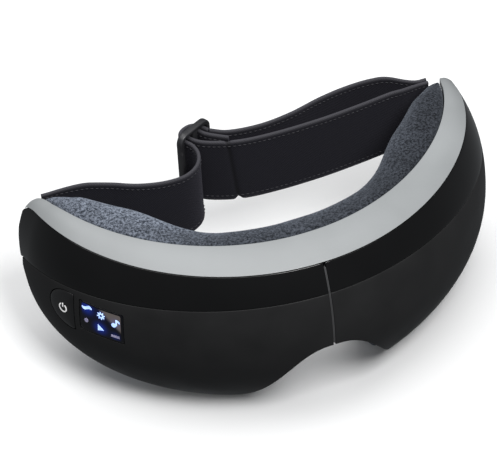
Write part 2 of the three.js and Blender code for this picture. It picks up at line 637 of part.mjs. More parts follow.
// The origin is the middle of the box that holds the object, on the surface it rests on.
const box = new THREE.Box3().setFromObject(mask);
const middle = box.getCenter(new THREE.Vector3());
mask.position.set(-middle.x, -middle.y, -box.min.z);

export default mask;
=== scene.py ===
# %% [markdown]
# A folding eye massager: a curved mask of two black half housings, a soft grey rim, a velvet cushion and a
# webbing strap. The imported model gives every place and size. This script only adds the fine surfaces and
# the finishes, so it starts by loading that model.
# %% The frame
import json
import math

import bmesh
import bpy
import numpy as np
from mathutils import Matrix, Vector


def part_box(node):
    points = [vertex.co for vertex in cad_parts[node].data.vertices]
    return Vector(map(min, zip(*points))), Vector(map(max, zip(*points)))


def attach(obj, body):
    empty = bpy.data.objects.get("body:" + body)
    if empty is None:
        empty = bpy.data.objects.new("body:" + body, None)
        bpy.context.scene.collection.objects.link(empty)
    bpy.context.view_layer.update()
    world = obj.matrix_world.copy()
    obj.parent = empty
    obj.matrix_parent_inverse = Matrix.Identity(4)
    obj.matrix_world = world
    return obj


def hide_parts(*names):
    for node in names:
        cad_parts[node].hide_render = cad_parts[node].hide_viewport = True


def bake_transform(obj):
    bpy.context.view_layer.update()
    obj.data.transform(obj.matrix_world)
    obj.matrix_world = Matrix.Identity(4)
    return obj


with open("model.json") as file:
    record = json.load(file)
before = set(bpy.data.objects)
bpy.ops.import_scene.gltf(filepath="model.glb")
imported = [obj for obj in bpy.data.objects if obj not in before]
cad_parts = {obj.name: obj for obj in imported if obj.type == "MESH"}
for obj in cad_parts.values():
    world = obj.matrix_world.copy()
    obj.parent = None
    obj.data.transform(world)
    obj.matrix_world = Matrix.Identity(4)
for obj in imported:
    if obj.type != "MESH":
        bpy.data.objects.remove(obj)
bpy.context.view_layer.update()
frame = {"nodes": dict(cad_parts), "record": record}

MM = 0.001
nodes = frame["nodes"]

# %% [markdown]
# Every curved part follows one surface. Seen from above its front is a superellipse, a circle's relative
# with slightly fuller shoulders, and from there the surface leans back above and below its widest level.
# A point is named by three numbers: the length along the front from the bridge, the depth towards the
# face, and the level. With that one rule, a shell, a rim and a cushion are each only a section.
# %% The surface of the mask
HALF_WIDTH = 100.0
NOSE_DEPTH = 84.9
CURVE_POWER = 1.835
ARM_REACH = 156.0
HOUSING_END, BAND_END, RIM_END, PAD_END = 0.955, 0.998, 0.99, 0.962  # each part's end, as a share of it
TOP_RISE = 35.1
CHEEK_DROP = 44.2
TIP_RISE = 24.1
NOSE_RISE = 41.4
NOSE_WIDTH = 30.4
REST_LEVEL = -40.6
WALL = 2.0
GAP = 0.3
SEAM = 0.4
LIP = 7.0
FRONT_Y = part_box("front_shell_right")[0].y / MM  # the front of the housing, at the bridge

angle = np.linspace(0, np.pi / 2, 2001)
curve_x = np.append(HALF_WIDTH * np.sin(angle) ** (2 / CURVE_POWER), HALF_WIDTH)
curve_y = np.append(NOSE_DEPTH * (1 - np.cos(angle).clip(0) ** (2 / CURVE_POWER)), NOSE_DEPTH + 60)
curve_u = np.concatenate([[0], np.cumsum(np.hypot(np.diff(curve_x), np.diff(curve_y)))])


def smooth(value, low, high):
    """An S-shaped step: 0 below low, 1 above high, with a level start and end."""
    t = np.clip((value - low) / (high - low), 0, 1)
    return t * t * (3 - 2 * t)


def place(u, depth, z):
    """The point at length u along the front, sunk by depth along the inward normal, at level z (metres)."""
    u, depth, z = np.broadcast_arrays(np.asarray(u, float), depth, z)
    side, a, step = np.where(u < 0, -1.0, 1.0), np.abs(u), 0.8
    x, y = np.interp(a, curve_u, curve_x), np.interp(a, curve_u, curve_y)
    behind = np.maximum(a - step, 0)
    run = np.interp(a + step, curve_u, curve_x) - np.interp(behind, curve_u, curve_x)
    rise = np.interp(a + step, curve_u, curve_y) - np.interp(behind, curve_u, curve_y)
    heading = np.arctan2(rise, run) * smooth(a, SEAM, 12)
    x, y = x - depth * np.sin(heading), y + depth * np.cos(heading)
    return np.stack([side * x, y + FRONT_Y, z - REST_LEVEL], -1) * MM


def reach(u):
    """Share of the way from the bridge to the tip of an arm."""
    return np.clip(np.abs(u) / ARM_REACH, 0, 1)


def top_edge(u):
    """Level of the top edge: a flattened arch that ends at the level of the tip."""
    return TOP_RISE * np.sqrt(1 - reach(u) ** 1.571) + TIP_RISE * reach(u) ** 2


def bottom_edge(u):
    """Level of the bottom edge: a deep round cheek, less a bell-shaped cut for the nose."""
    cheek = -CHEEK_DROP * np.sqrt(1 - reach(u) ** 3.763) + TIP_RISE * reach(u) ** 2
    return cheek + NOSE_RISE * np.exp(-np.abs(u / NOSE_WIDTH) ** 2.5)


def band_edge(u):
    """Level of the line between the polished band and the matte housing."""
    return top_edge(u) - (12.2 + 12.1 * reach(u) ** 2)


def inset(z):
    """How far the front leans back at a level, as a power of the distance from the widest level."""
    up, down = np.clip(z, 0, None) / TOP_RISE, np.clip(-z, 0, None) / CHEEK_DROP
    return 8.2 * up ** 2.2 + 21.95 * down ** 2.2


def rim_rise(u):
    return top_edge(u) + 4.1 - 0.7 * reach(u) ** 2


def rim_depth(u):
    return inset(rim_rise(u)) + 13.2 - 9.6 * reach(u) ** 2


def face_level(u):
    return top_edge(u) - 5.5


def face_depth(u):
    return inset(face_level(u)) + 36.4 - 23 * reach(u) ** 2


def frame_back(u):
    return face_depth(u) - 12 + 6 * reach(u) ** 2


def lip_depth(u):
    return inset(bottom_edge(u)) + LIP * (1 - 0.5 * reach(u) ** 4)


def pad_bottom(u):
    """Level of the cushion's underside: just under the housing, and flat where the mask stands on it."""
    foot = smooth(np.abs(u), 28, 42) * (1 - smooth(np.abs(u), 80, 98))
    return (bottom_edge(u) - GAP) * (1 - foot) + REST_LEVEL * foot


print("curve length to the straight", round(float(curve_u[-2]), 1), "mm, front at y", round(FRONT_Y, 2), "mm")

# %% [markdown]
# A lofted part is a ring of section points repeated along the front. Real moulded and sewn parts have no
# knife edges, so two small tools round them: one turns a corner of the section into a short curve, the
# other draws the last few rings in, as a fillet would. Both work on whole arrays at once.
# %% Tools for lofted parts
def outline(*points):
    """Stacks (depth, level) pairs, each an array over u, into sections of shape (rings, points, 2)."""
    return np.stack([np.stack(np.broadcast_arrays(d, z), -1) for d, z in points], 1)


def round_corners(rings, radii, steps=4):
    """Each corner named in radii becomes a quadratic curve that starts and ends that far from it."""
    count, parts = rings.shape[1], []
    for k in range(count):
        here = rings[:, k]
        if k not in radii:
            parts.append(here[:, None])
            continue
        before, after = rings[:, k - 1] - here, rings[:, (k + 1) % count] - here
        size_b = np.linalg.norm(before, axis=-1, keepdims=True)
        size_a = np.linalg.norm(after, axis=-1, keepdims=True)
        start = here + before / size_b * np.minimum(radii[k], size_b * 0.45)
        end = here + after / size_a * np.minimum(radii[k], size_a * 0.45)
        t = np.linspace(0, 1, steps + 1)[None, :, None]
        parts.append(start[:, None] * (1 - t) ** 2 + here[:, None] * 2 * t * (1 - t) + end[:, None] * t ** 2)
    return np.concatenate(parts, 1)


def draw_in(rings, amount):
    """Moves every section point inwards, square to the outline, by an amount given for each ring."""
    along = np.roll(rings, -1, 1) - np.roll(rings, 1, 1)
    normal = np.stack([along[..., 1], -along[..., 0]], -1)
    normal /= np.linalg.norm(normal, axis=-1, keepdims=True) + 1e-9
    nxt = np.roll(rings, -1, 1)
    area = (rings[..., 0] * nxt[..., 1] - nxt[..., 0] * rings[..., 1]).sum(1)
    return rings - normal * (np.sign(area) * amount)[:, None, None]


def finished(mesh, name, sharp=38):
    """Smooth shading with creases over the given angle, on an object that stands at the origin."""
    mesh.polygons.foreach_set("use_smooth", np.ones(len(mesh.polygons), bool))
    mesh.set_sharp_from_angle(angle=math.radians(sharp))
    piece = bpy.data.objects.new(name, mesh)
    bpy.context.scene.collection.objects.link(piece)
    return piece


def ring_mesh(name, points, capped=True, sharp=38):
    """A closed tube of rings (rings, points, 3), with a flat face over each end, turned to face outwards."""
    rows, count = points.shape[:2]
    row, col = np.arange(rows - 1)[:, None] * count, np.arange(count)[None]
    nxt = (col + 1) % count
    quads = np.stack([row + col, row + nxt, row + count + nxt, row + count + col], -1).reshape(-1, 4)
    verts = points.reshape(-1, 3)
    a, b, c, d = (verts[quads[:, i]] for i in range(4))
    centre = verts.mean(0)
    volume = (np.cross(b - centre, c - centre) * (a - centre)).sum() + \
        (np.cross(c - centre, d - centre) * (a - centre)).sum()
    caps = [list(range(count))[::-1], list(range((rows - 1) * count, rows * count))] if capped else []
    faces = quads.tolist() + caps
    if volume < 0:
        faces = [face[::-1] for face in faces]
    mesh = bpy.data.meshes.new(name)
    mesh.from_pydata(verts.tolist(), [], faces)
    mesh.update()
    return finished(mesh, name, sharp)


def faced_out(mesh, weld=0.0):
    """Joins points nearer to each other than the weld distance, then turns every face outwards."""
    work = bmesh.new()
    work.from_mesh(mesh)
    if weld:
        bmesh.ops.remove_doubles(work, verts=work.verts, dist=weld)
    bmesh.ops.recalc_face_normals(work, faces=work.faces)
    work.to_mesh(mesh)
    work.free()


def stored(piece, name, values, domain="POINT"):
    """Keeps a number for each point or edge of the mesh, for a finish or for the smoothing to read."""
    layer = piece.data.attributes.new(name, "FLOAT", domain)
    layer.data.foreach_set("value", np.asarray(values).ravel().astype(np.float32))


def loft(name, start, stop, steps, section, ease=0.35, sharp=38, open_start=False):
    """Sections carried along the front, with both ends drawn in over the length ease, or only the far one."""
    turn = np.linspace(0, np.pi / 2, 5)
    way = np.sign(stop - start or 1)
    spread = 1 - (1 - np.linspace(0, 1, steps + 1)) ** 1.25
    inner = start + way * ease + (stop - start - 2 * way * ease) * spread
    head = start + way * ease * (1 - np.cos(turn[:-1]))
    tail = stop - way * ease * (1 - np.cos(turn[:-1][::-1]))
    u = np.concatenate([head, inner, tail])
    shrink = ease * (1 - np.sin(turn[:-1]))
    amount = np.concatenate([shrink * (not open_start), np.zeros(len(inner)), shrink[::-1]])
    rings = draw_in(section(u), amount)
    return ring_mesh(name, place(u[:, None], rings[..., 0], rings[..., 1]), sharp=sharp)


def skin_points(low, high, sunk, count):
    """Points down the housing's skin from level high to level low, sunk below it, as section pairs."""
    levels = high[:, None] + (low - high)[:, None] * np.linspace(0, 1, count)[None]
    return [(inset(levels[:, i]) + sunk, levels[:, i]) for i in range(count)]


SIDES = {"left": -1, "right": 1}

# %% [markdown]
# The camera comes next, because every later choice is judged through it: a long lens from above and from
# the side of the display, tipped a little.
# %% Camera
VIEW_AZIMUTH = math.radians(-19.6)
VIEW_HEIGHT = math.radians(42.15)
VIEW_ROLL = math.radians(-3.57)
VIEW_DISTANCE = 1.331
VIEW_TARGET = Vector((-18.5, 42.5 + FRONT_Y, 28.9 - REST_LEVEL)) * MM
LENS = 241.2

towards_camera = Vector((math.sin(VIEW_AZIMUTH) * math.cos(VIEW_HEIGHT),
                         -math.cos(VIEW_AZIMUTH) * math.cos(VIEW_HEIGHT), math.sin(VIEW_HEIGHT)))
level_right = towards_camera.cross(Vector((0, 0, -1))).normalized()
level_up = towards_camera.cross(level_right)
camera_right = level_right * math.cos(VIEW_ROLL) + level_up * math.sin(VIEW_ROLL)
camera_up = -level_right * math.sin(VIEW_ROLL) + level_up * math.cos(VIEW_ROLL)
camera_data = bpy.data.cameras.new("camera")
camera_data.lens = LENS
camera_data.sensor_fit = "HORIZONTAL"
camera_data.clip_start = 0.05
camera = bpy.data.objects.new("camera", camera_data)
bpy.context.scene.collection.objects.link(camera)
turned = Matrix((camera_right, camera_up, towards_camera)).transposed().to_4x4()
camera.matrix_world = Matrix.Translation(VIEW_TARGET + towards_camera * VIEW_DISTANCE) @ turned
bpy.context.scene.camera = camera
print("camera at", tuple(round(v, 3) for v in camera.matrix_world.translation))

# %% [markdown]
# The mask stands on a plain pale floor, under a wide lamp overhead and a smaller one high in front, which
# lays the strap's shadow on the floor behind it. Polished and matte black show whatever lies round them, so
# the floor is left out of what mirror and bounce rays see. They see the even grey of the studio instead,
# so a black mask stays black on a pale floor.
# %% Floor and light
bpy.context.scene.view_settings.view_transform = "Standard"


def patch_mesh(name, points):
    """A grid of points (rows, columns, 3) as one sheet of quads at the origin."""
    rows, cols = points.shape[:2]
    row, col = np.arange(rows - 1)[:, None] * cols, np.arange(cols - 1)[None]
    quads = np.stack([row + col, row + col + 1, row + cols + col + 1, row + cols + col], -1).reshape(-1, 4)
    mesh = bpy.data.meshes.new(name)
    mesh.from_pydata(points.reshape(-1, 3).tolist(), [], quads.tolist())
    mesh.update()
    return finished(mesh, name)


def rectangle(corner, along, across, cells=8):
    """The flat grid corner + s along + t across, for s and t from 0 to 1."""
    s, t = np.meshgrid(np.linspace(0, 1, cells), np.linspace(0, 1, cells), indexing="ij")
    return np.array(corner) + s[..., None] * np.array(along) + t[..., None] * np.array(across)


floor = patch_mesh("floor", rectangle((-3, -3, 0), (6, 0, 0), (0, 6, 0)))
floor.visible_diffuse = floor.visible_glossy = False


def soft_lamp(name, position, aim, size, power):
    """A square area lamp that faces the aim point."""
    data = bpy.data.lights.new(name, "AREA")
    data.size, data.energy = size, power
    lamp = bpy.data.objects.new(name, data)
    bpy.context.scene.collection.objects.link(lamp)
    lamp.location = position
    lamp.rotation_euler = (Vector(aim) - Vector(position)).to_track_quat("-Z", "Y").to_euler()
    return lamp


soft_lamp("overhead_lamp", (-0.15, 0.2, 1.3), (0, 0, 0), 1.4, 16.5)
soft_lamp("front_lamp", (0.1, -0.66, 1.05), (0, 0.02, 0.03), 0.45, 12.0)
world = bpy.data.worlds.new("studio")
world.use_nodes = True
world.node_tree.nodes["Background"].inputs["Color"].default_value = (0.92, 0.96, 1.0, 1)
world.node_tree.nodes["Background"].inputs["Strength"].default_value = 0.17
bpy.context.scene.world = world

# %% [markdown]
# Most finishes differ only in a few numbers, but each needs fine relief and a slow change of tone, or it
# looks like a drawing. Two small helpers add nodes and start a material, and shader groups hold the
# effects that several finishes share: moulded grain, worn edges and a woven surface.
# %% Tools for finishes
def node(tree, kind, inputs=None, **settings):
    """A shader node with its settings; inputs gives each socket a value, or a socket to take it from."""
    made = tree.nodes.new("ShaderNode" + kind)
    for key, value in settings.items():
        setattr(made, key, value)
    for key, value in (inputs or {}).items():
        if isinstance(value, bpy.types.NodeSocket):
            tree.links.new(value, made.inputs[key])
        else:
            made.inputs[key].default_value = value
    return made


def group(name, inputs, outputs):
    """An empty shader node group with named sockets, its input node and its output node."""
    tree = bpy.data.node_groups.new(name, "ShaderNodeTree")
    for label, kind, value in inputs:
        socket = tree.interface.new_socket(name=label, in_out="INPUT", socket_type="NodeSocket" + kind)
        if value is not None:
            socket.default_value = value
    for label, kind in outputs:
        tree.interface.new_socket(name=label, in_out="OUTPUT", socket_type="NodeSocket" + kind)
    return tree, tree.nodes.new("NodeGroupInput"), tree.nodes.new("NodeGroupOutput")


def placed(tree, source, inputs=None):
    """A group's node in a material's tree."""
    return node(tree, "Group", inputs, node_tree=source)


def finish_named(name, roughness, **plain):
    """A new material, its node tree and its shader, with the values that are the same all over."""
    made = bpy.data.materials.new(name)
    made.use_nodes = True
    shader = made.node_tree.nodes["Principled BSDF"]
    shader.inputs["Roughness"].default_value = roughness
    for label, value in plain.items():
        shader.inputs[label.replace("_", " ")].default_value = value
    return made, made.node_tree, shader


def mixed(tree, factor, first, second, **settings):
    """The mix of two colours, each a value or a socket."""
    return node(tree, "Mix", {"Factor": factor, "A": first, "B": second}, data_type="RGBA",
                **settings).outputs["Result"]


def between(tree, factor, dark, light):
    """The colour that goes from dark to light with the factor."""
    return mixed(tree, factor, (*dark, 1), (*light, 1))


def ranged(tree, value, low, high, to_low, to_high):
    """The value carried from one range to another, and held at its ends."""
    made = node(tree, "MapRange", {"Value": value, "From Min": low, "From Max": high, "To Min": to_low,
                                   "To Max": to_high})
    return made.outputs["Result"]


def relief(tree, shader, height, strength, distance):
    """A bump from the height into the shader's normal."""
    bump = node(tree, "Bump", {"Height": height, "Strength": strength, "Distance": distance})
    tree.links.new(bump.outputs["Normal"], shader.inputs["Normal"])


# %% [markdown]
# Three effects are shared. Grain has a fine height and a slow tone. Wear speckles the edges that stand out.
# The weave is one sine wave along the cloth times another across it, with uneven yarn on top.
# %% Shared effects
grain, enter, leave = group("moulded_grain", [("Vector", "Vector", None), ("Fineness", "Float", 2500.0),
                                              ("Patches", "Float", 60.0)],
                            [("Height", "Float"), ("Tone", "Float")])
fine = node(grain, "TexNoise", {"Vector": enter.outputs["Vector"], "Scale": enter.outputs["Fineness"],
                                "Detail": 3.0, "Roughness": 0.65})
broad = node(grain, "TexNoise", {"Vector": enter.outputs["Vector"], "Scale": enter.outputs["Patches"],
                                 "Detail": 2.0})
grain.links.new(fine.outputs["Fac"], leave.inputs["Height"])
grain.links.new(broad.outputs["Fac"], leave.inputs["Tone"])

wear, enter, leave = group("edge_wear", [("Vector", "Vector", None), ("Start", "Float", 0.52),
                                         ("End", "Float", 0.62)], [("Mask", "Float")])
corner = node(wear, "NewGeometry")
speckle = node(wear, "TexNoise", {"Vector": enter.outputs["Vector"], "Scale": 420.0, "Detail": 3.0})
raised = node(wear, "MapRange", {"Value": corner.outputs["Pointiness"], "From Min": enter.outputs["Start"],
                                 "From Max": enter.outputs["End"]})
broken = node(wear, "Math", {0: raised.outputs["Result"], 1: speckle.outputs["Fac"]}, operation="MULTIPLY")
wear.links.new(broken.outputs["Value"], leave.inputs["Mask"])

weave, enter, leave = group("ribbed_weave", [("Vector", "Vector", None), ("Rib", "Float", 0.9),
                                             ("Column", "Float", 0.8)],
                            [("Height", "Float"), ("Tone", "Float")])
split = node(weave, "SeparateXYZ", {0: enter.outputs["Vector"]})


def ripple(tree, coordinate, pitch):
    """One sine wave for each pitch of the coordinate."""
    turns = node(tree, "Math", {0: coordinate, 1: pitch}, operation="DIVIDE")
    radians = node(tree, "Math", {0: turns.outputs["Value"], 1: 2 * math.pi}, operation="MULTIPLY")
    return node(tree, "Math", {0: radians.outputs["Value"]}, operation="SINE").outputs["Value"]


ribs = ripple(weave, split.outputs["X"], enter.outputs["Rib"])
columns = ripple(weave, split.outputs["Y"], enter.outputs["Column"])
crossing = node(weave, "Math", {0: ribs, 1: columns}, operation="MULTIPLY")
yarn = node(weave, "TexNoise", {"Vector": enter.outputs["Vector"], "Scale": 2.6, "Detail": 3.0})
lifted = node(weave, "MapRange", {"Value": crossing.outputs["Value"], "From Min": -1.0, "From Max": 1.0})
uneven = node(weave, "Math", {0: lifted.outputs["Result"], 1: yarn.outputs["Fac"]}, operation="ADD")
weave.links.new(uneven.outputs["Value"], leave.inputs["Height"])
weave.links.new(yarn.outputs["Fac"], leave.inputs["Tone"])
print("groups", [tree.name for tree in bpy.data.node_groups])

# %% [markdown]
# Moulded plastic, rubber, film and metal all come from one recipe: two close tones mixed by slow patches,
# roughness that moves a little with them, a fine relief, and paler worn edges where hands and screws rub.
# Each finish passes its own numbers, so no two look alike.
# %% Moulded and metal finishes
def moulded(name, dark, light, roughness, fineness=2500.0, patches=60.0, depth=0.00003, stretch=(1, 1, 1),
            worn=None, spread=0.06, strength=0.35, **plain):
    """A finish of two tones with grain; worn is the colour of rubbed edges."""
    made, tree, shader = finish_named(name, roughness, **plain)
    place_in = node(tree, "TexCoord").outputs["Object"]
    brushed = node(tree, "Mapping", {"Vector": place_in, "Scale": stretch}).outputs["Vector"]
    texture = placed(tree, grain, {"Vector": brushed, "Fineness": fineness, "Patches": patches})
    colour = between(tree, ranged(tree, texture.outputs["Tone"], 0.3, 0.7, 0, 1), dark, light)
    if worn:
        rubbed = placed(tree, wear, {"Vector": place_in}).outputs["Mask"]
        colour = mixed(tree, rubbed, colour, (*worn, 1))
    tree.links.new(colour, shader.inputs["Base Color"])
    tree.links.new(ranged(tree, texture.outputs["Tone"], 0.3, 0.7, roughness - spread, roughness + spread),
                   shader.inputs["Roughness"])
    relief(tree, shader, texture.outputs["Height"], strength, depth)
    return made


matte_black = moulded("matte_black", (0.019, 0.019, 0.0195), (0.024, 0.024, 0.0245), 0.42, fineness=3200,
                      Specular_IOR_Level=0.12)
gloss_black = moulded("gloss_black", (0.004, 0.004, 0.0042), (0.006, 0.006, 0.0063), 0.1, fineness=700,
                      patches=25, depth=0.000004, spread=0.02, IOR=1.38)
button_black = moulded("button_black", (0.006, 0.006, 0.0065), (0.009, 0.009, 0.0095), 0.36, fineness=4200)
slider_black = moulded("slider_black", (0.018, 0.018, 0.02), (0.03, 0.03, 0.033), 0.36, fineness=1900,
                       depth=0.00005, worn=(0.09, 0.09, 0.095))
rim_grey = moulded("rim_grey", (0.25, 0.261, 0.265), (0.282, 0.294, 0.299), 0.45, fineness=3800, patches=35,
                   depth=0.00002, worn=(0.45, 0.47, 0.48), Coat_Weight=0.05)
seal_grey = moulded("seal_grey", (0.06, 0.06, 0.062), (0.09, 0.09, 0.093), 0.6, fineness=2000)
frame_black = moulded("frame_black", (0.015, 0.015, 0.017), (0.03, 0.03, 0.033), 0.5, fineness=1500,
                      depth=0.00008, worn=(0.08, 0.08, 0.085))
welded_film = moulded("welded_film", (0.5, 0.53, 0.57), (0.66, 0.68, 0.7), 0.28, fineness=300, patches=90,
                      depth=0.0003)
amber_film = moulded("amber_film", (0.4, 0.13, 0.02), (0.55, 0.2, 0.04), 0.3, fineness=900, patches=150)
plain_steel = moulded("plain_steel", (0.5, 0.5, 0.52), (0.62, 0.62, 0.63), 0.3, fineness=2400,
                      stretch=(1, 1, 0.06), worn=(0.75, 0.75, 0.76), Metallic=1.0)
turned_brass = moulded("turned_brass", (0.5, 0.33, 0.11), (0.68, 0.48, 0.2), 0.28, fineness=2600,
                       stretch=(0.1, 0.1, 1), worn=(0.8, 0.62, 0.32), Metallic=1.0)
board_green = moulded("board_green", (0.012, 0.09, 0.035), (0.03, 0.14, 0.06), 0.35, fineness=800,
                      patches=240)
cell_foil = moulded("cell_foil", (0.34, 0.4, 0.47), (0.46, 0.5, 0.56), 0.34, fineness=500, patches=120,
                    depth=0.0001, worn=(0.6, 0.63, 0.68), Metallic=0.8)
cable_black = moulded("cable_black", (0.012, 0.012, 0.014), (0.03, 0.03, 0.032), 0.5, fineness=1800)
# painted glow: the printed white mark gives off a little light of its own
white_mark = moulded("white_mark", (0.72, 0.72, 0.72), (0.85, 0.85, 0.85), 0.5, Emission_Strength=0.35,
                     Emission_Color=(1, 1, 1, 1))
print("finishes", len(bpy.data.materials))

# %% [markdown]
# The floor takes a very pale paper tone, with hardly any change across it. It also glows very slightly, like
# frosted acrylic lit from below, which keeps the shadows under the mask soft and open.
# %% Floor finish
studio_paper = moulded("studio_paper", (0.835, 0.835, 0.835), (0.855, 0.855, 0.855), 0.8, fineness=400,
                       patches=4, Emission_Color=(1, 1, 1, 1), Emission_Strength=0.04)
floor.data.materials.append(studio_paper)

# %% [markdown]
# Every new piece stands for a node of the imported model. The record names the body of each node, so one
# helper paints a piece, hides its node and hangs it on the right body.
# %% Tool for fitting a piece
body_with = {name: body for body, names in frame["record"]["behaviour"]["bodies"].items() for name in names}


def painted(piece, finish):
    """Gives the piece this finish and no other."""
    piece.data.materials.clear()
    piece.data.materials.append(finish)


def dressed(piece, finish, slot, *replaced):
    """Paints the piece and hides the nodes it stands for. The slot is not used."""
    painted(piece, finish)
    if replaced:
        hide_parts(*replaced)


def fitted(piece, finish, slot, *replaced, body=None):
    """Dresses a stiff piece and makes it ride on its body."""
    dressed(piece, finish, slot, *replaced)
    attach(piece, body or body_with[replaced[0]])


def joined(name, parts):
    """Several meshes as one piece; each keeps its place, because all stand at the origin."""
    verts, faces, shift = [], [], 0
    for part in parts:
        mesh = part.data
        verts.extend([tuple(v.co) for v in mesh.vertices])
        faces.extend([[k + shift for k in polygon.vertices] for polygon in mesh.polygons])
        shift += len(mesh.vertices)
        bpy.data.objects.remove(part)
    mesh = bpy.data.meshes.new(name)
    mesh.from_pydata(verts, [], faces)
    mesh.update()
    return finished(mesh, name)


def carved(piece, *cutters):
    """Cuts the cutters out of the piece for good, then sets its shading again."""
    for cutter in cutters:
        tool = piece.modifiers.new("cut", "BOOLEAN")
        tool.object, tool.operation, tool.solver = cutter, "DIFFERENCE", "EXACT"
    bpy.context.view_layer.update()
    shape = bpy.data.meshes.new_from_object(piece.evaluated_get(bpy.context.evaluated_depsgraph_get()))
    piece.modifiers.clear()
    piece.data = shape
    shape.polygons.foreach_set("use_smooth", np.ones(len(shape.polygons), bool))
    shape.set_sharp_from_angle(angle=math.radians(38))
    for cutter in cutters:
        bpy.data.objects.remove(cutter)
    return piece


# %% [markdown]
# The button is a letter D lying on its side: straight next to the display and round towards the temple.
# The display is a rounded rectangle. Both follow the housing's skin, so each is an outline in length and
# level, filled from its middle outwards, with the depth as a second rule. The same outline, a little
# larger, cuts the housing.
# %% Outlines on the skin
BUTTON_AT = -112.5
BUTTON_LEFT = -124.0
BUTTON_RIGHT = -110.4
BUTTON_HALF = 9.2
BUTTON_LEVEL = 4.6
BUTTON_PROUD = 0.35
LENS_LEFT, LENS_RIGHT, LENS_LOW, LENS_HIGH = -107.2, -86.4, -1.6, 13.3


def softened(corners, radius, steps=6):
    """A closed outline (points, 2) whose every corner becomes a quadratic curve."""
    rings = np.asarray(corners, float)[None]
    return round_corners(rings, {k: radius for k in range(len(corners))}, steps)[0]


def even_outline(points, count):
    """The same closed outline with points at equal steps along it."""
    loop = np.vstack([points, points[:1]])
    way = np.concatenate([[0], np.cumsum(np.linalg.norm(np.diff(loop, axis=0), axis=1))])
    at = np.linspace(0, way[-1], count, endpoint=False)
    return np.stack([np.interp(at, way, loop[:, 0]), np.interp(at, way, loop[:, 1])], -1)


def button_outline(grow=0.0):
    """A D: a straight side, two short edges, and half of an ellipse."""
    turn = np.linspace(np.pi / 2, 3 * np.pi / 2, 40)
    half, tip = BUTTON_HALF + grow, BUTTON_LEFT - grow
    arc_u = BUTTON_AT + (BUTTON_AT - tip) * np.cos(turn)
    arc_z = BUTTON_LEVEL + half * np.sin(turn)
    right_u = BUTTON_RIGHT + grow
    corner = 1.2
    bend = np.linspace(0, np.pi / 2, 6)
    low_u = right_u - corner + corner * np.sin(bend)
    low_z = BUTTON_LEVEL - half + corner - corner * np.cos(bend)
    high_u = right_u - corner + corner * np.cos(bend)
    high_z = BUTTON_LEVEL + half - corner + corner * np.sin(bend)
    return even_outline(np.stack([np.concatenate([arc_u, low_u, high_u]),
                                  np.concatenate([arc_z, low_z, high_z])], -1), 96)


def lens_outline(grow=0.0):
    """A rectangle with small round corners."""
    left, right, low, high = LENS_LEFT - grow, LENS_RIGHT + grow, LENS_LOW - grow, LENS_HIGH + grow
    return even_outline(softened([(left, low), (right, low), (right, high), (left, high)], 0.9), 96)


def skin_plug(name, outline_points, shares, depths):
    """Rings of the outline shrunk about its middle by each share and sunk by each depth, on the skin."""
    middle = outline_points.mean(0)
    flat = middle + (outline_points - middle)[None] * np.asarray(shares)[:, None, None]
    sunk = np.asarray(depths)[:, None] + inset(flat[..., 1])
    return ring_mesh(name, place(flat[..., 0], sunk, flat[..., 1]))


# %% [markdown]
# Each half housing is a 2 mm shell of fine matte plastic with a lip along its bottom, on which it faces
# the cushion. It runs from the seam almost to the tip of the arm. The left half has the openings of the
# button and the display, and the right half has the slot for charging.
# %% Half housings
def housing_section(u):
    """The skin down to the bottom, the lip in towards the face, and back up 2 mm inside the skin."""
    low, high = bottom_edge(u), band_edge(u) - GAP / 2
    lip = lip_depth(u)
    inside = high + (low - high) * 0.72
    rows = skin_points(low, high, 0, 20)
    rows += [(lip, low), (lip, low + WALL * 0.8), (inset(low + WALL) + WALL, low + WALL * 0.8)]
    rows += skin_points(high, inside, WALL, 9)
    return round_corners(outline(*rows), {0: 0.25, 19: 1.1, 20: 0.5, 21: 0.5}, 4)


housings = {hand: loft(f"housing_{hand}", side * SEAM, side * ARM_REACH * HOUSING_END, 110, housing_section)
            for hand, side in SIDES.items()}
button_hole = skin_plug("button_hole", button_outline(0.4), [0.02, 0.5, 1, 1], [-3, -3, -3, 6])
lens_hole = skin_plug("lens_hole", lens_outline(0.3), [0.02, 0.5, 1, 1], [-3, -3, -3, 6])
carved(housings["left"], button_hole, lens_hole)

port_low, port_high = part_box("charging_port")
port_middle = (port_low + port_high) / 2
print("housings", {hand: len(shell.data.polygons) for hand, shell in housings.items()},
      "port at", [round(v / MM, 1) for v in port_middle])

# %% [markdown]
# The slot of the charging port is a flat oval with round ends. Its direction is that of the port's own
# node, whose mesh tells its long axis, its short axis and its depth as the principal directions of its
# points.
# %% Charging slot
port_points = np.array([v.co for v in nodes["charging_port"].data.vertices])
port_axes = np.linalg.svd(port_points - port_points.mean(0), full_matrices=False)[2]
reach_out = [np.ptp(port_points @ axis) for axis in port_axes]
order = np.argsort(reach_out)[::-1]
wide, deep, thin = (port_axes[k] for k in order)
if deep[2] > 0:
    deep = -deep
half_wide, half_thin = reach_out[order[0]] / 2 + 0.0004, reach_out[order[2]] / 2 + 0.0004
turn = np.linspace(0, 2 * np.pi, 40, endpoint=False)
flat_part = half_wide - half_thin
oval = (np.sign(np.cos(turn)) * flat_part + half_thin * np.cos(turn))[:, None] * wide \
    + (half_thin * np.sin(turn))[:, None] * thin
centre = (port_points @ deep).max() * deep + np.array(port_middle) - (np.array(port_middle) @ deep) * deep
slot_hole = ring_mesh("slot_hole", np.stack([centre + oval + deep * d for d in (-0.006, 0.002, 0.006)]))
carved(housings["right"], slot_hole)
for hand, shell in housings.items():
    fitted(shell, matte_black, "matte_shell", f"front_shell_{hand}")
print("slot", round(half_wide * 2 / MM, 1), "by", round(half_thin * 2 / MM, 1), "mm")

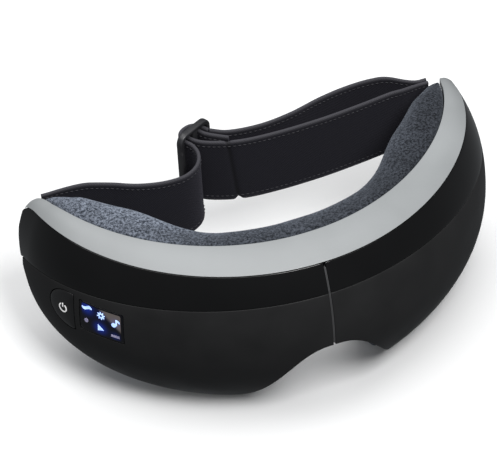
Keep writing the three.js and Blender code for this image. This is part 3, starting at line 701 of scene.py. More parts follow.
# %% [markdown]
# The polished band runs above the matte housing from tip to tip. It is a separate moulding, because a
# mirror finish and a fine matte one come out of different tools. A hairline gap parts the two.
# %% Polished band
def band_section(u):
    """The skin from the top edge down to the housing, and back up 2 mm inside it."""
    low, high = np.maximum(band_edge(u) + GAP / 2, bottom_edge(u)), top_edge(u)
    rows = skin_points(low, high, 0, 12) + skin_points(high, low, WALL, 12)
    return round_corners(outline(*rows), {0: 0.3, 11: 0.25}, 3)


for hand, side in SIDES.items():
    band = loft(f"polished_band_{hand}", side * SEAM, side * ARM_REACH * BAND_END, 120, band_section)
    fitted(band, gloss_black, "gloss_band", f"gloss_band_{hand}")
print("bands", len(band.data.polygons), "faces each")

# %% [markdown]
# The grey rim is soft rubber clipped over the top edge. It slopes back and up in a shallow crown, with a
# small roll at each border that catches the light, and a hook behind the band that holds it on. Towards
# the tips the hook comes down and closes the end of the arm.
# %% Soft rim
def rim_section(u):
    """A crowned strip from the band's top edge to the cushion, then a hook down behind the band."""
    edge, low = inset(top_edge(u)), top_edge(u) + GAP
    wrap = smooth(reach(u), 0.955, 0.985)
    drop = (top_edge(u) - 5) * (1 - wrap) + (bottom_edge(u) + 1) * wrap
    crown = []
    for t in np.linspace(0, 1, 18):
        lift = 0.9 * np.sin(np.pi * t) + (rim_rise(u) - low) * t
        crown.append((edge * (1 - t) + rim_depth(u) * t, low + lift))
    crown += [(rim_depth(u), rim_rise(u) - 3.2), (edge + 4.4, top_edge(u) - 1.8), (edge + 4.4, drop),
              (edge + WALL + 0.5, drop), (edge + WALL + 0.5, low)]
    return round_corners(outline(*crown), {0: 0.7, 17: 1.3, 18: 0.6, 20: 0.5, 21: 0.5}, 5)


def folding(piece):
    """Bakes the piece's placement into its mesh."""
    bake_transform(piece)


for hand, side in SIDES.items():
    rim = loft(f"grey_rim_{hand}", side * 0.001, side * ARM_REACH * RIM_END, 120, rim_section,
               open_start=True)
    dressed(rim, rim_grey, "soft_rim", f"soft_rim_{hand}")
    folding(rim)
print("rims", len(rim.data.polygons), "faces each")

# %% [markdown]
# The cushion is velvet over foam. Its section is a crown behind the rim, a face side that leans a little,
# a round foot, and a pocket in front for the frame and the air cells. Real padding is fuller in the middle
# than at its sewn borders, so the section starts slightly small, its borders and its hidden side are
# pinned, and a cloth simulation with air pressure swells the rest. The grid keeps its rows, so the
# velvet's pattern can follow them.
# %% Cushion section
POCKET = 6.0
SWELL_ROOM = 0.9


def temple(u):
    """1 along the arm, where the padding is deeper and higher, and 0 at the bridge and at the tip."""
    return smooth(reach(u), 0.3, 0.7) * (1 - smooth(reach(u), 0.9, 1.0))


def cushion_section(u):
    """A closed C: crown, face side, foot, underside, and the pocket on the front side."""
    front, back = rim_depth(u) + GAP, face_depth(u) - SWELL_ROOM - 1 + 9 * temple(u)
    high, low, face = rim_rise(u) - GAP - 0.2, pad_bottom(u), face_level(u)
    hem = np.minimum(7, (face - low) * 0.3)
    held, room = frame_back(u) + GAP + 0.1, POCKET * (1 - reach(u) ** 2)
    rows = []
    for turn in np.linspace(0, np.pi / 2, 14):
        puff = 3 * temple(u) * np.sin(2 * turn)
        rows.append((front + (back - front) * np.sin(turn), face + (high - face) * np.cos(turn) + puff))
    waist = 1.5 * (1 - reach(u) ** 2) - 2.5 * temple(u)
    for t in np.linspace(0, 1, 14)[1:-1]:
        rows.append((back - waist * np.sin(np.pi * t), face + (low + hem - face) * t))
    for turn in np.linspace(0, np.pi / 2, 6):
        rows.append((back - hem * (1 - np.cos(turn)), low + hem * (1 - np.sin(turn))))
    under = back - hem
    for t in (0.33, 0.66, 1.0):
        rows.append((under + (lip_depth(u) + GAP - under) * t, low))
    rows += [(lip_depth(u) + GAP, low + hem * 0.7), (held, low + hem), (held + room, low + hem + 2)]
    for t in (0.25, 0.5, 0.75, 1.0):
        rows.append((held + room, low + hem + 2 + (face - 3 - low - hem - 2) * t))
    rows += [(held, face - 1), (np.minimum(front, held), high - 4)]
    return outline(*rows)


FREE_ROWS = 32  # section points 0 to 31 are the crown, the face side and the foot


def swollen(piece, rows, pressure=4.0, cap=2.2):
    """Blows the free rows up with cloth pressure for 20 frames, moving no point further than the cap (mm)."""
    mesh = piece.data
    count = len(mesh.vertices)
    rest = np.empty(count * 3)
    mesh.vertices.foreach_get("co", rest)
    column = np.arange(count) % rows
    ring = np.arange(count) // rows
    free = smooth(column, 0, 3) * (1 - smooth(column, FREE_ROWS - 3, FREE_ROWS + 1))
    free *= smooth(ring, 1, 7) * (1 - smooth(ring, ring.max() - 5, ring.max() - 1))
    pinned = piece.vertex_groups.new(name="pinned")
    for level in range(11):
        chosen = np.nonzero(np.round((1 - free) * 10) == level)[0]
        pinned.add(chosen.tolist(), level / 10, "REPLACE")
    cloth = piece.modifiers.new("cloth", "CLOTH")
    cloth.settings.quality = 5
    cloth.settings.mass = 0.15
    cloth.settings.tension_stiffness = cloth.settings.compression_stiffness = 12
    cloth.settings.bending_stiffness = 0.4
    cloth.settings.use_pressure = True
    cloth.settings.uniform_pressure_force = pressure
    cloth.settings.vertex_group_mass = "pinned"
    cloth.settings.effector_weights.gravity = 0
    cloth.collision_settings.use_collision = False
    for frame_number in range(1, 21):
        bpy.context.scene.frame_set(frame_number)
    swelled = piece.evaluated_get(bpy.context.evaluated_depsgraph_get()).to_mesh()
    moved = np.empty(count * 3)
    swelled.vertices.foreach_get("co", moved)
    piece.modifiers.remove(cloth)
    step = (moved - rest).reshape(-1, 3)
    length = np.linalg.norm(step, axis=1, keepdims=True)
    step *= np.minimum(1, cap * MM / np.maximum(length, 1e-9)) * free[:, None]
    mesh.vertices.foreach_set("co", (rest.reshape(-1, 3) + step).ravel())
    piece.vertex_groups.clear()
    bpy.context.scene.frame_set(1)
    mesh.update()
    return float(length.max() / MM), float(np.linalg.norm(step, axis=1).max() / MM)


# %% [markdown]
# Velvet shows three scales at once: single fibre tips as pale and dark flecks, patches where the pile was
# brushed another way, and a soft shine at grazing angles. The flecks and patches are noise of three sizes,
# the shine is the shader's sheen. The pile leans from the rim towards the face and from right to left, so
# each point also stores how pale its pile looks: paler over the crown, and paler along the left arm.
# %% Velvet
velvet, tree, shader = finish_named("heather_velvet", 0.92, Sheen_Weight=0.2, Sheen_Roughness=0.45,
                                    Sheen_Tint=(0.62, 0.68, 0.8, 1), Specular_IOR_Level=0.2)
place_in = node(tree, "TexCoord").outputs["Object"]
fibres = node(tree, "TexNoise", {"Vector": place_in, "Scale": 2050.0, "Detail": 3.0, "Roughness": 0.75})
tufts = node(tree, "TexNoise", {"Vector": place_in, "Scale": 980.0, "Detail": 2.0, "Roughness": 0.6})
brushed = node(tree, "TexNoise", {"Vector": place_in, "Scale": 70.0, "Detail": 2.0, "Distortion": 0.6})
flecks = node(tree, "Math", {0: fibres.outputs["Fac"], 1: tufts.outputs["Fac"]}, operation="ADD")
spread = ranged(tree, flecks.outputs["Value"], 0.84, 1.18, 0, 1)
patch = ranged(tree, brushed.outputs["Fac"], 0.35, 0.65, 0.86, 1.14)
pile = between(tree, spread, (0.006, 0.008, 0.012), (0.098, 0.11, 0.134))
# painted sheen and shade: the tone is scaled by a share stored on each cushion point
painted_light_share = node(tree, "Attribute", attribute_name="painted_sheen_and_shade").outputs["Fac"]
share = node(tree, "Math", {0: patch, 1: painted_light_share}, operation="MULTIPLY")
toned = node(tree, "VectorMath", {0: pile, "Scale": share.outputs["Value"]}, operation="SCALE")
tree.links.new(toned.outputs["Vector"], shader.inputs["Base Color"])
relief(tree, shader, flecks.outputs["Value"], 0.5, 0.0003)

# %% [markdown]
# Each cushion half is lofted from that section, swollen and smoothed. The two meet at the bridge.
# %% Cushions
def keep_flat(piece, count):
    """Creases the edges of the first ring, so that smoothing leaves the face at the bridge flat and full."""
    ends = np.empty(len(piece.data.edges) * 2, np.int32)
    piece.data.edges.foreach_get("vertices", ends)
    in_ring = (ends.reshape(-1, 2) < count).all(1)
    stored(piece, "crease_edge", in_ring, "EDGE")


rows_in_section = cushion_section(np.array([10.0])).shape[1]
for hand, side in SIDES.items():
    pad = loft(f"cushion_{hand}", side * 0.02, side * ARM_REACH * PAD_END, 120, cushion_section,
               ease=1.2, sharp=180, open_start=True)
    rings = len(pad.data.vertices) // rows_in_section
    along = np.linspace(0, 1, rings)
    # painted sheen and shade: darker next to the rim and paler towards the face, paler along the left arm and
    # darker along the right
    over = 0.62 + 0.98 * smooth(np.arange(rows_in_section), 1, 15)
    arm = 1 + 1.9 * smooth(along, 0.2, 0.55) if side < 0 else 1 - 0.35 * smooth(along, 0, 0.4)
    stored(pad, "painted_sheen_and_shade", arm[:, None] * over[None])
    print("swell", hand, "free and kept (mm)", swollen(pad, rows_in_section))
    keep_flat(pad, rows_in_section)
    smoother = pad.modifiers.new("smooth", "SUBSURF")
    smoother.levels = smoother.render_levels = 1
    dressed(pad, velvet, "velvet", f"face_cushion_{hand}")
    folding(pad)

# %% [markdown]
# The head strap is 32 mm elastic webbing, thicker along its two borders, where the weave is folded over.
# Where its end is sewn down behind the slider, the seam pulls a slanting crease into the layer in front.
# It is a flat section carried along a path seen from above. The path runs through chosen points as a
# centripetal Catmull-Rom curve, which never loops between close points: each stretch is a cubic whose end
# slopes come from its neighbours, weighted by the square root of the distances.
# %% Strap tools
STRAP_WIDTH = 32.0
STRAP_THICK = 1.5
SLIDER_X, SLIDER_Y, SLIDER_TURN = -17.0, 107.0, 0.49


def on_slider(s, t):
    """A point named in the slider's own directions, s along its width and t towards the back."""
    c, n = math.cos(SLIDER_TURN), math.sin(SLIDER_TURN)
    return (SLIDER_X + s * c - t * n, SLIDER_Y + s * n + t * c)


def through(points, samples=40):
    """The centripetal Catmull-Rom curve through the points, as many plane points."""
    p = np.asarray(points, float)
    p = np.vstack([2 * p[0] - p[1], p, 2 * p[-1] - p[-2]])
    gap = np.sqrt(np.maximum(np.linalg.norm(np.diff(p, axis=0), axis=1), 1e-9))
    g0, g1, g2 = gap[:-2, None], gap[1:-1, None], gap[2:, None]
    a, b, c, d = p[:-3], p[1:-2], p[2:-1], p[3:]
    start = ((b - a) / g0 - (c - a) / (g0 + g1) + (c - b) / g1) * g1
    end = ((c - b) / g1 - (d - b) / (g1 + g2) + (d - c) / g2) * g1
    t = np.linspace(0, 1, samples, endpoint=False)[None, :, None]
    b, c, start, end = b[:, None], c[:, None], start[:, None], end[:, None]
    curve = b * (2 * t ** 3 - 3 * t ** 2 + 1) + start * (t ** 3 - 2 * t ** 2 + t) \
        + c * (3 * t ** 2 - 2 * t ** 3) + end * (t ** 3 - t ** 2)
    return np.vstack([curve.reshape(-1, 2), p[-2:-1]])


def paced(points, step):
    """The same path at even steps: its points, its side directions and the length up to each point (mm)."""
    way = np.concatenate([[0], np.cumsum(np.linalg.norm(np.diff(points, axis=0), axis=1))])
    at = np.linspace(0, way[-1], max(2, int(way[-1] / step)) + 1)
    even = np.stack([np.interp(at, way, points[:, k]) for k in (0, 1)], -1)
    along = np.gradient(even, at, axis=0)
    along /= np.linalg.norm(along, axis=1, keepdims=True)
    return even, np.stack([-along[:, 1], along[:, 0]], -1), at


def standing_at(plan, level):
    """Plan points and levels (mm, from the mask's widest level) as points of the model, in metres."""
    plan, level = np.broadcast_arrays(plan, np.asarray(level)[..., None])
    return np.concatenate([plan[..., :1], plan[..., 1:] + FRONT_Y, level[..., :1] - REST_LEVEL], -1) * MM


def mapped(piece, u, v):
    """A UV map from one pair of values for each vertex, here millimetres along and across the cloth."""
    layer = piece.data.uv_layers.new(name="cloth")
    corners = np.empty(len(piece.data.loops), np.int32)
    piece.data.loops.foreach_get("vertex_index", corners)
    layer.data.foreach_set("uv", np.stack([u, v], -1)[corners].astype(np.float32).ravel())


GATHER, GATHER_FROM, GATHER_TO = 3.6, 66, 84
CREASE_TOP, CREASE_SLANT, CREASE_REACH = -6.0, 3.0, 105


def gathered(plan, level):
    """The level drawn in towards the strap's middle near the anchors, which are lower than the webbing."""
    taken = GATHER * smooth(np.abs(plan[..., 0]), GATHER_FROM, GATHER_TO)
    return level + taken * (1 - 2 * np.asarray(level) / STRAP_WIDTH)


def creased(plan, heights, way, reach_of_crease):
    """How deep each point lies in the slanting sewn crease: 1 along the seam, 0 a few millimetres away."""
    middle = CREASE_TOP + CREASE_SLANT * (1 - heights / STRAP_WIDTH)
    near = np.exp(-((plan[..., 0] - middle) / 1.1) ** 2)
    return near * (way < reach_of_crease)[:, None]


def strap_band(name, path, reach_of_crease=0):
    """Webbing along a path: a flat section with a rounded, slightly thicker border at each edge."""
    even, beside, way = paced(through(path), 0.8)
    lower = np.array([0, 0.12, 0.5, 1.0, 1.6, 2.1, 2.6, 4, 8, 12])
    levels = np.concatenate([lower, [STRAP_WIDTH / 2], STRAP_WIDTH - lower[::-1]])
    border = np.minimum(levels, STRAP_WIDTH - levels)
    half = STRAP_THICK / 2 * np.sqrt(1 - (1 - np.clip(border / 0.75, 0, 1)) ** 2)
    half = np.maximum(half, 0.1) - 0.16 * smooth(border, 1.6, 2.2)
    offsets = np.concatenate([half, -half[::-1]])
    heights = np.concatenate([levels, levels[::-1]])
    plan = even[:, None] + beside[:, None] * offsets[None, :, None]
    crease = creased(plan, heights[None], way, reach_of_crease)
    plan = plan + 0.7 * crease[..., None] * np.array([0, 1])
    pinch = crease * (smooth(heights, 5, 0) - smooth(heights, STRAP_WIDTH - 5, STRAP_WIDTH))[None]
    band = ring_mesh(name, standing_at(plan, gathered(plan, heights) + 1.3 * pinch), sharp=70)
    mapped(band, np.repeat(way, len(heights)), np.tile(heights, len(way)))
    # kept for the finish, which darkens the crease as a painted shade
    stored(band, "crease", crease)
    return band


def stitch_row(path, starts, level, face, length=1.35, width=0.5, raised=0.34):
    """Points of short threads, one at each start along the path, lying on one face of the webbing."""
    even, beside, way = paced(through(path), 0.4)
    ends = np.linspace(0, 1, 5)
    arch = np.sin(np.pi * ends)
    at = starts[:, None] + ends[None] * length
    plan = np.stack([np.interp(at, way, even[:, k]) for k in (0, 1)], -1)
    side = np.stack([np.interp(at, way, beside[:, k]) for k in (0, 1)], -1)
    turn = np.linspace(0, 2 * np.pi, 6, endpoint=False)
    out = face * (STRAP_THICK / 2 - 0.14 + (raised - 0.12) * arch[None, :, None]
                  + np.sin(turn) * raised * 0.6 * (0.35 + 0.65 * arch[None, :, None]))
    heights = level + np.cos(turn) * width / 2 * (0.4 + 0.6 * arch[None, :, None])
    plan = plan[:, :, None] + side[:, :, None] * out[..., None]
    return standing_at(plan, gathered(plan, heights))


def thread_mesh(name, threads):
    """Many closed threads (threads, rings, points, 3) in one mesh."""
    rings, count = threads.shape[1:3]
    row, col = np.arange(rings - 1)[:, None] * count, np.arange(count)[None]
    nxt = (col + 1) % count
    quads = np.stack([row + col, row + count + col, row + count + nxt, row + nxt], -1).reshape(-1, 4)
    total = len(threads)
    size = rings * count
    all_quads = (quads[None] + np.arange(total)[:, None, None] * size).reshape(-1, 4)
    caps = np.stack([np.arange(count), np.arange(size - 1, size - count - 1, -1)])
    all_caps = (caps[None] + np.arange(total)[:, None, None] * size).reshape(-1, count)
    mesh = bpy.data.meshes.new(name)
    mesh.from_pydata(threads.reshape(-1, 3).tolist(), [], all_quads.tolist() + all_caps.tolist())
    mesh.update()
    faced_out(mesh)
    return finished(mesh, name)


# %% [markdown]
# Webbing and thread finishes. The weave group reads the cloth's own map, so the ribs run across the strap
# wherever it bends, and the folded borders come out a little paler.
# %% Webbing and thread
webbing, tree, shader = finish_named("black_webbing", 0.82, Sheen_Weight=0.06, Sheen_Roughness=0.5,
                                     Sheen_Tint=(0.75, 0.72, 0.9, 1), Specular_IOR_Level=0.25)
cloth_map = node(tree, "UVMap", uv_map="cloth").outputs["UV"]
woven = placed(tree, weave, {"Vector": cloth_map, "Rib": 1.1, "Column": 0.9})
across = node(tree, "SeparateXYZ", {0: cloth_map}).outputs["Y"]
centred = node(tree, "Math", {0: across, 1: STRAP_WIDTH / 2}, operation="SUBTRACT")
from_middle = node(tree, "Math", {0: centred.outputs["Value"]}, operation="ABSOLUTE").outputs["Value"]
border_share = ranged(tree, from_middle, 14.3, 15.6, 0, 1)
cloth_tone = between(tree, ranged(tree, woven.outputs["Height"], 0.5, 1.5, 0, 1), (0.003, 0.003, 0.005),
                     (0.019, 0.0185, 0.026))
bordered = mixed(tree, border_share, cloth_tone, (0.046, 0.045, 0.052, 1))
in_crease = node(tree, "Attribute", attribute_name="crease").outputs["Fac"]
# painted shade: the webbing is darkened along the sewn crease
crease_painted_shade = mixed(tree, ranged(tree, in_crease, 0.3, 1, 0, 0.8), bordered, (0.001, 0.001, 0.0015, 1))
tree.links.new(crease_painted_shade, shader.inputs["Base Color"])
relief(tree, shader, woven.outputs["Height"], 0.55, 0.00025)
thread = moulded("strap_thread", (0.018, 0.018, 0.022), (0.04, 0.039, 0.046), 0.7, fineness=5000, patches=500,
                 depth=0.0001)

# %% [markdown]
# Three runs of webbing meet at the slider. The left run passes behind the bar and goes on as the outer run.
# The inner run comes from the right clip, turns round the bar and ends a little way back. A row of short
# stitches follows each border, on both faces.
# %% Straps
STRAP_PATHS = {
    "left": [(-86, 101.2), (-80, 100.6), (-70, 97), (-59, 92), (-49, 86.5), (-38, 83.4), (-29, 83.8),
             (-22.6, 88), (-19.6, 94.5), on_slider(-5.7, -4.5), on_slider(-5.5, 0), on_slider(-3.9, 3.9),
             on_slider(0, 5.2), on_slider(3.9, 3.9), on_slider(5.5, 0), on_slider(5.8, -3.4)],
    "outer": [on_slider(6, -3.9), (-4, 102.6), (10, 100.4), (24, 101.8), (39, 105.6), (50, 107.4),
              (61, 107.8), (70, 106.4), (77, 103.6), (81.5, 102.3), (86, 102.2)],
    "inner": [(86, 100.1), (82, 100), (77, 98.6), (72, 96.9), (62, 95.5), (48, 94), (34, 93), (14, 93),
              (0, 94.4), (-9, 97.2), on_slider(-2.2, -5.2), on_slider(-2.9, 0), on_slider(-2.3, 2.3),
              on_slider(0, 3.1), on_slider(2.3, 2.3), on_slider(2.9, 0), on_slider(3.2, -3.8), (-8, 101.4),
              (-4.5, 98.8)],
}
for part, path in STRAP_PATHS.items():
    band = strap_band(f"webbing_{part}", path, CREASE_REACH if part == "inner" else 0)
    length = paced(through(path), 0.8)[2][-1]
    starts = np.arange(1.5, length - 3, 2.1)
    threads = np.concatenate([stitch_row(path, starts, level, face) for level in (2.5, STRAP_WIDTH - 2.5)
                              for face in (-1, 1)])
    rows = thread_mesh(f"border_stitches_{part}", threads)
    dressed(band, webbing, "webbing", f"strap_{part}")
    dressed(rows, thread, "webbing", f"strap_{part}")
    for piece in (band, rows):
        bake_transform(piece)
    print("strap", part, round(float(length), 1), "mm,", len(threads), "stitches")

# %% [markdown]
# The slider is a moulded frame with two windows, so the two straps can each be drawn through and locked.
# Its outer ring is a rounded section carried round a rounded rectangle, and a bar stands in the middle.
# %% Strap slider
SLIDER_HALF, SLIDER_MARGIN, SLIDER_THICK, SLIDER_SIDE, SLIDER_BAR = 9.2, 3.0, 3.0, 2.15, 2.6


def rounded_box_path(half_s, half_z, radius, count):
    """Even points round a rectangle whose corners are quarter circles."""
    parts = []
    for k, (cs, cz) in enumerate([(1, -1), (1, 1), (-1, 1), (-1, -1)]):
        turn = np.linspace(0, np.pi / 2, 12) + (k - 1) * np.pi / 2
        parts.append(np.stack([cs * (half_s - radius) + radius * np.cos(turn),
                               cz * (half_z - radius) + radius * np.sin(turn)], -1))
    return even_outline(np.concatenate(parts), count)


def slider_points(s, t, level):
    """Points in the slider's own directions as points of the model."""
    return standing_at(np.stack(on_slider(s, t), -1), level)


section = softened([(-1, -1), (1, -1), (1, 1), (-1, 1)], 0.62, 4)
half_z = STRAP_WIDTH / 2 + SLIDER_MARGIN
outer_path = rounded_box_path(SLIDER_HALF, half_z, 4.0, 160)
inner_path = rounded_box_path(SLIDER_HALF - SLIDER_SIDE, half_z - SLIDER_SIDE + 0.2, 1.6, 160)
mid, wide_way = (outer_path + inner_path) / 2, (outer_path - inner_path) / 2
s = mid[:, None, 0] + wide_way[:, None, 0] * section[None, :, 0]
z = mid[:, None, 1] + wide_way[:, None, 1] * section[None, :, 0]
t = np.broadcast_to(section[None, :, 1] * SLIDER_THICK / 2, s.shape)
points = slider_points(s, t, z + STRAP_WIDTH / 2)
ring_loop = ring_mesh("slider_ring", np.concatenate([points, points[:1]]), capped=False)
faced_out(ring_loop.data, weld=1e-7)
levels = np.linspace(-half_z + 1.5, half_z - 1.5, 12)
bar = ring_mesh("slider_bar", slider_points(
    np.broadcast_to(section[None, :, 0] * SLIDER_BAR / 2, (12, len(section))),
    np.broadcast_to(section[None, :, 1] * (SLIDER_THICK / 2 - 0.1), (12, len(section))),
    np.broadcast_to(levels[:, None] + STRAP_WIDTH / 2, (12, len(section)))))
fitted(joined("strap_buckle", [ring_loop, bar]), slider_black, "frame_plastic", "strap_slider")
print("slider", SLIDER_HALF * 2, "by", half_z * 2, "mm")

# %% [markdown]
# Each strap end is held in a clip at the tip of an arm: a channel that opens towards the strap, and a
# tongue that goes forward through the end plate of the arm. Both are upright prisms with rounded corners,
# drawn in a little at the top and the bottom.
# %% Strap clips
CLIP_NEAR, CLIP_FAR, CLIP_FRONT, CLIP_REAR, CLIP_WALL = 82.5, 89.0, 97.8, 104.6, 1.2
TONGUE_X, TONGUE_HALF, TONGUE_FRONT = 87.8, 0.75, 87.65
CLIP_LOW, CLIP_HIGH, TONGUE_LOW, TONGUE_HIGH = 8, 22, 12, 20


def prism(name, corners, radii, low, high, ease=0.4):
    """An upright body of a plan outline whose named corners are rounded, with soft top and bottom edges."""
    turn = np.linspace(0, np.pi / 2, 5)
    drop = ease * (1 - np.cos(turn))
    levels = np.concatenate([low + drop, high - drop[::-1]])
    amount = ease * (1 - np.sin(turn))
    flat = round_corners(np.asarray(corners, float)[None], radii, 5)
    rings = draw_in(np.repeat(flat, len(levels), 0), np.concatenate([amount, amount[::-1]]))
    return ring_mesh(name, standing_at(rings, levels[:, None]))


for hand, side in SIDES.items():
    near, far = side * CLIP_NEAR, side * CLIP_FAR
    inner = side * (CLIP_FAR - CLIP_WALL)
    channel = prism("channel", [(near, CLIP_FRONT), (far, CLIP_FRONT), (far, CLIP_REAR), (near, CLIP_REAR),
                                (near, CLIP_REAR - CLIP_WALL), (inner, CLIP_REAR - CLIP_WALL),
                                (inner, CLIP_FRONT + CLIP_WALL), (near, CLIP_FRONT + CLIP_WALL)],
                    {0: 0.3, 1: 1.7, 2: 1.7, 3: 0.3, 4: 0.3, 5: 0.6, 6: 0.6, 7: 0.3}, CLIP_LOW, CLIP_HIGH)
    left_x, right_x = side * TONGUE_X - TONGUE_HALF, side * TONGUE_X + TONGUE_HALF
    tongue = prism("tongue", [(left_x, TONGUE_FRONT), (right_x, TONGUE_FRONT), (right_x, CLIP_FRONT + 0.4),
                              (left_x, CLIP_FRONT + 0.4)], {0: 0.4, 1: 0.4}, TONGUE_LOW, TONGUE_HIGH,
                   ease=0.3)
    clip = joined(f"strap_clip_{hand}", [channel, tongue])
    fitted(clip, frame_black, "frame_plastic", f"strap_anchor_{hand}")
print("clips", round(CLIP_FAR - CLIP_NEAR, 1), "by", round(CLIP_REAR - CLIP_FRONT, 1), "mm")

# %% [markdown]
# The power button is slightly domed with a rolled border, and carries the usual circle-and-line mark. The
# display is a flat dark window. Its lit marks are generic: a wave, a cog, a note, a dot, a triangle and a
# bar. Each mark is a flat outline laid on the skin with a little thickness.
# %% Button and display window
turn = np.linspace(0, np.pi / 2, 7)
border = 1.1
button_shares = np.concatenate([[0.02, 0.3, 0.6, 0.85], 1 - border / 10 * (1 - np.sin(turn)), [1.0]])
button_depths = np.concatenate([[-0.75, -0.7, -0.6, -0.48], -BUTTON_PROUD * np.cos(turn) + 0.25 * np.sin(turn),
                                [1.9]])
button = skin_plug("button_cap", button_outline(), button_shares, button_depths)
fitted(button, button_black, "matte_shell", "power_button")
lens_shares = np.concatenate([[0.02], np.linspace(0.08, 0.88, 11), [0.9, 0.985, 1.0, 1.0]])
lens_depths = np.concatenate([np.full(13, 0.1), [0.12, 0.25, 1.5]])
window = skin_plug("display_window", lens_outline(), lens_shares, lens_depths)


def mark_prism(outline_points, low, high):
    """A flat outline (u, level) as a thin solid between two depths on the skin."""
    pts = np.asarray(outline_points, float)
    rings = np.stack([pts, pts])
    sunk = np.array([low, high])[:, None] + inset(rings[..., 1])
    return ring_mesh("mark", place(rings[..., 0], sunk, rings[..., 1]))


def arc_band(middle, radius, width, start, stop, count=30):
    """The outline of a bent stripe: out along the larger arc and back along the smaller one."""
    turn = np.linspace(start, stop, count)
    outer = np.stack([np.cos(turn), np.sin(turn)], -1) * (radius + width / 2)
    inner = np.stack([np.cos(turn), np.sin(turn)], -1)[::-1] * (radius - width / 2)
    return np.array(middle) + np.concatenate([outer, inner])


def block(left, right, low, high):
    """A rectangle's outline."""
    return [(left, low), (right, low), (right, high), (left, high)]


power_at = (-115.6, 5.2)
gap_angle = 0.55
ring_mark = mark_prism(arc_band(power_at, 1.9, 0.5, np.pi / 2 + gap_angle, 2.5 * np.pi - gap_angle),
                       -0.84, -0.6)
line_mark = mark_prism(block(power_at[0] - 0.25, power_at[0] + 0.25, power_at[1] + 0.5, power_at[1] + 2.4),
                       -0.84, -0.6)
fitted(joined("power_mark", [ring_mark, line_mark]), white_mark, "matte_shell", body="button")
print("button and window in place")

# %% [markdown]
# The window is black glass. The backlight leaks softly round each lit mark, so every point of the window
# stores how near it is to a mark, as a sum of bell curves, and the shader turns that into a blue glow. A
# painted warm reflection fills the corner above the window's diagonal, and the glass stays black along its
# border.
# %% Display marks
MARKS = {"wave": (-103.4, 10.9), "cog": (-96.5, 9.7), "note": (-90.0, 8.2), "dot": (-103.8, 4.3),
         "triangle": (-97.1, 3.0), "bar": (-90.2, 1.2)}
MARK_LOW, MARK_HIGH = 0.04, -0.05
lit, tree, shader = finish_named("lit_mark", 0.4, Emission_Strength=1.0)
flicker = placed(tree, grain, {"Vector": node(tree, "TexCoord").outputs["Object"], "Fineness": 1500.0,
                               "Patches": 500.0})
glow = between(tree, flicker.outputs["Tone"], (0.22, 0.4, 1.0), (0.62, 0.78, 1.0))
tree.links.new(glow, shader.inputs["Emission Color"])
tree.links.new(glow, shader.inputs["Base Color"])


def around(name, shape):
    """An outline about zero, moved to a mark's place."""
    return np.array(MARKS[name]) + np.asarray(shape, float)


wave_u = np.linspace(-2.5, 2.5, 24)
wave_z = 0.55 * np.sin(wave_u * 1.2)
wave_half = 0.75 * np.sqrt(1.04 - (wave_u / 2.5) ** 2)
wave = np.concatenate([np.stack([wave_u, wave_z + wave_half], -1),
                       np.stack([wave_u, wave_z - wave_half], -1)[::-1]])
tooth = np.linspace(0, 2 * np.pi, 64, endpoint=False)
cog_radius = 1.5 + 0.38 * np.tanh(3 * np.sin(8 * tooth))
cog_rings = np.stack([np.stack([np.cos(tooth), np.sin(tooth)], -1) * r[:, None]
                      for r in (np.full(64, 0.62), cog_radius)])
cog_flat = np.array(MARKS["cog"]) + cog_rings
cog_loop = [(0, MARK_LOW), (1, MARK_LOW), (1, MARK_HIGH), (0, MARK_HIGH), (0, MARK_LOW)]
cog_points = np.stack([place(cog_flat[k, :, 0], depth + inset(cog_flat[k, :, 1]), cog_flat[k, :, 1])
                       for k, depth in cog_loop])
cog = ring_mesh("mark_cog", cog_points, capped=False)
dot_turn = np.linspace(0, 2 * np.pi, 24, endpoint=False)
marks = [
    cog,
    mark_prism(around("wave", wave), MARK_LOW, MARK_HIGH),
    mark_prism(around("note", arc_band((-0.6, -1.0), 0.55, 1.0, 0, 2 * np.pi, 24)), MARK_LOW, MARK_HIGH),
    mark_prism(around("note", block(0.25, 0.85, -1.0, 2.0)), MARK_LOW, MARK_HIGH),
    mark_prism(around("note", [(0.85, 2.0), (2.1, 1.2), (2.1, 0.3), (0.85, 1.1)]), MARK_LOW, MARK_HIGH),
    mark_prism(around("triangle", [(-1.2, -1.5), (1.7, -0.6), (-1.0, 1.7)]), MARK_LOW, MARK_HIGH),
]
fitted(joined("display_marks", marks), lit, "display_glass", body="half_left")
dim, tree, shader = finish_named("dim_mark", 0.4, Emission_Strength=0.2)
faint = placed(tree, grain, {"Vector": node(tree, "TexCoord").outputs["Object"], "Fineness": 900.0,
                             "Patches": 700.0})
pale = between(tree, faint.outputs["Tone"], (0.22, 0.22, 0.4), (0.5, 0.46, 0.62))
tree.links.new(pale, shader.inputs["Emission Color"])
tree.links.new(pale, shader.inputs["Base Color"])
dot_mark = mark_prism(around("dot", np.stack([np.cos(dot_turn), np.sin(dot_turn)], -1)), MARK_LOW, MARK_HIGH)
bar_mark = mark_prism(around("bar", block(-1.9, 1.9, -0.6, 0.6)), MARK_LOW, MARK_HIGH)
fitted(joined("display_dot", [dot_mark, bar_mark]), dim, "display_glass", body="half_left")

# %% [markdown]
# The glow is worked out at each point of the window and then added to the glass: blue round the lit marks, a
# painted warm reflection in one corner, and nothing along the border.
# %% Display window finish
flat = lens_outline()
flat_middle = flat.mean(0)
ring_flat = flat_middle + (flat - flat_middle)[None] * np.array(lens_shares)[:, None, None]
near_mark = sum(strength * np.exp(-((ring_flat[..., 0] - MARKS[name][0]) ** 2
                                    + (ring_flat[..., 1] - MARKS[name][1]) ** 2) / 2 / size ** 2)
                for name, strength, size in (("wave", 1.0, 1.9), ("cog", 0.5, 1.3), ("note", 0.5, 1.3),
                                             ("triangle", 1.0, 1.7), ("bar", 0.3, 1.3)))
inside = (np.array(lens_shares) < 0.9)[:, None]
stored(window, "backlight", near_mark * inside)
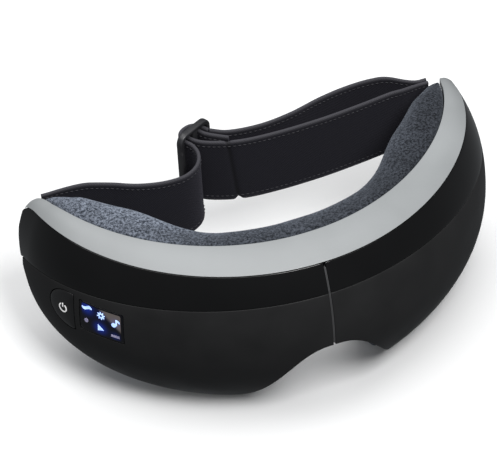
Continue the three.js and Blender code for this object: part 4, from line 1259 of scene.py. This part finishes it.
# painted reflection: a warm glow fills the corner above the window's diagonal
across_lens = (ring_flat[..., 0] - LENS_LEFT) / (LENS_RIGHT - LENS_LEFT)
down_lens = (LENS_HIGH - ring_flat[..., 1]) / (LENS_HIGH - LENS_LOW)
painted_warm_reflection = smooth(1.2 * (across_lens - 0.4) - down_lens, -0.03, 0.12) * inside
stored(window, "painted_warm_reflection", painted_warm_reflection)

window_glass, tree, shader = finish_named("window_glass", 0.08, Emission_Strength=1.0, IOR=1.4)
leaking = node(tree, "Attribute", attribute_name="backlight").outputs["Fac"]
reflection_share = node(tree, "Attribute", attribute_name="painted_warm_reflection").outputs["Fac"]
speckle = placed(tree, grain, {"Vector": node(tree, "TexCoord").outputs["Object"], "Fineness": 3000.0,
                               "Patches": 260.0})
blue = between(tree, leaking, (0.0, 0.0, 0.0), (0.003, 0.02, 0.24))
# painted reflection: the colour of the warm corner
painted_reflection_colour = between(tree, reflection_share, (0.0, 0.0, 0.0), (0.1, 0.086, 0.08))
shine = mixed(tree, 1.0, blue, painted_reflection_colour, blend_type="ADD")
tree.links.new(shine, shader.inputs["Emission Color"])
tree.links.new(between(tree, speckle.outputs["Tone"], (0.002, 0.002, 0.004), (0.004, 0.004, 0.007)),
               shader.inputs["Base Color"])
relief(tree, shader, speckle.outputs["Height"], 0.1, 0.000005)
fitted(window, window_glass, "display_glass", "display_lens")
print("marks", len(MARKS))

# %% [markdown]
# The parts inside, and the small metal and film parts that show at the seam and from behind, keep their
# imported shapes. They only need finishes.
# %% Parts that keep their shape
KEPT = {
    "frame_black": ["inner_frame_left", "inner_frame_right", "arm_cap_left", "arm_cap_right", "button_switch",
                    "pump_crank", "valve_body"],
    "cable_black": ["bridge_cable"],
    "amber_film": ["heater_film_left", "heater_film_right"],
    "welded_film": ["air_cell_left", "air_cell_right", "air_hose", "bridge_hose"],
    "seal_grey": ["fold_seal_left", "fold_seal_right"],
    "plain_steel": ["hinge_link", "hinge_pin_left", "hinge_pin_right", "hinge_leaf_left", "hinge_leaf_right",
                    "leaf_screw_left_1", "leaf_screw_left_2", "leaf_screw_right_1", "leaf_screw_right_2",
                    "vibration_motor_left", "vibration_motor_right", "speaker", "pump_body", "charging_port"],
    "turned_brass": ["motor_weight_left", "motor_weight_right", "valve_plunger"],
    "board_green": ["control_board", "display_panel"],
    "cell_foil": ["battery_cell"],
}
for finish_name, names in KEPT.items():
    for name in names:
        painted(nodes[name], bpy.data.materials[finish_name])
shown = [name for name, o in nodes.items() if not o.hide_render]
print("kept", sum(len(names) for names in KEPT.values()), "shown", len(shown),
      "without a finish", sorted(set(shown) - {n for names in KEPT.values() for n in names}))
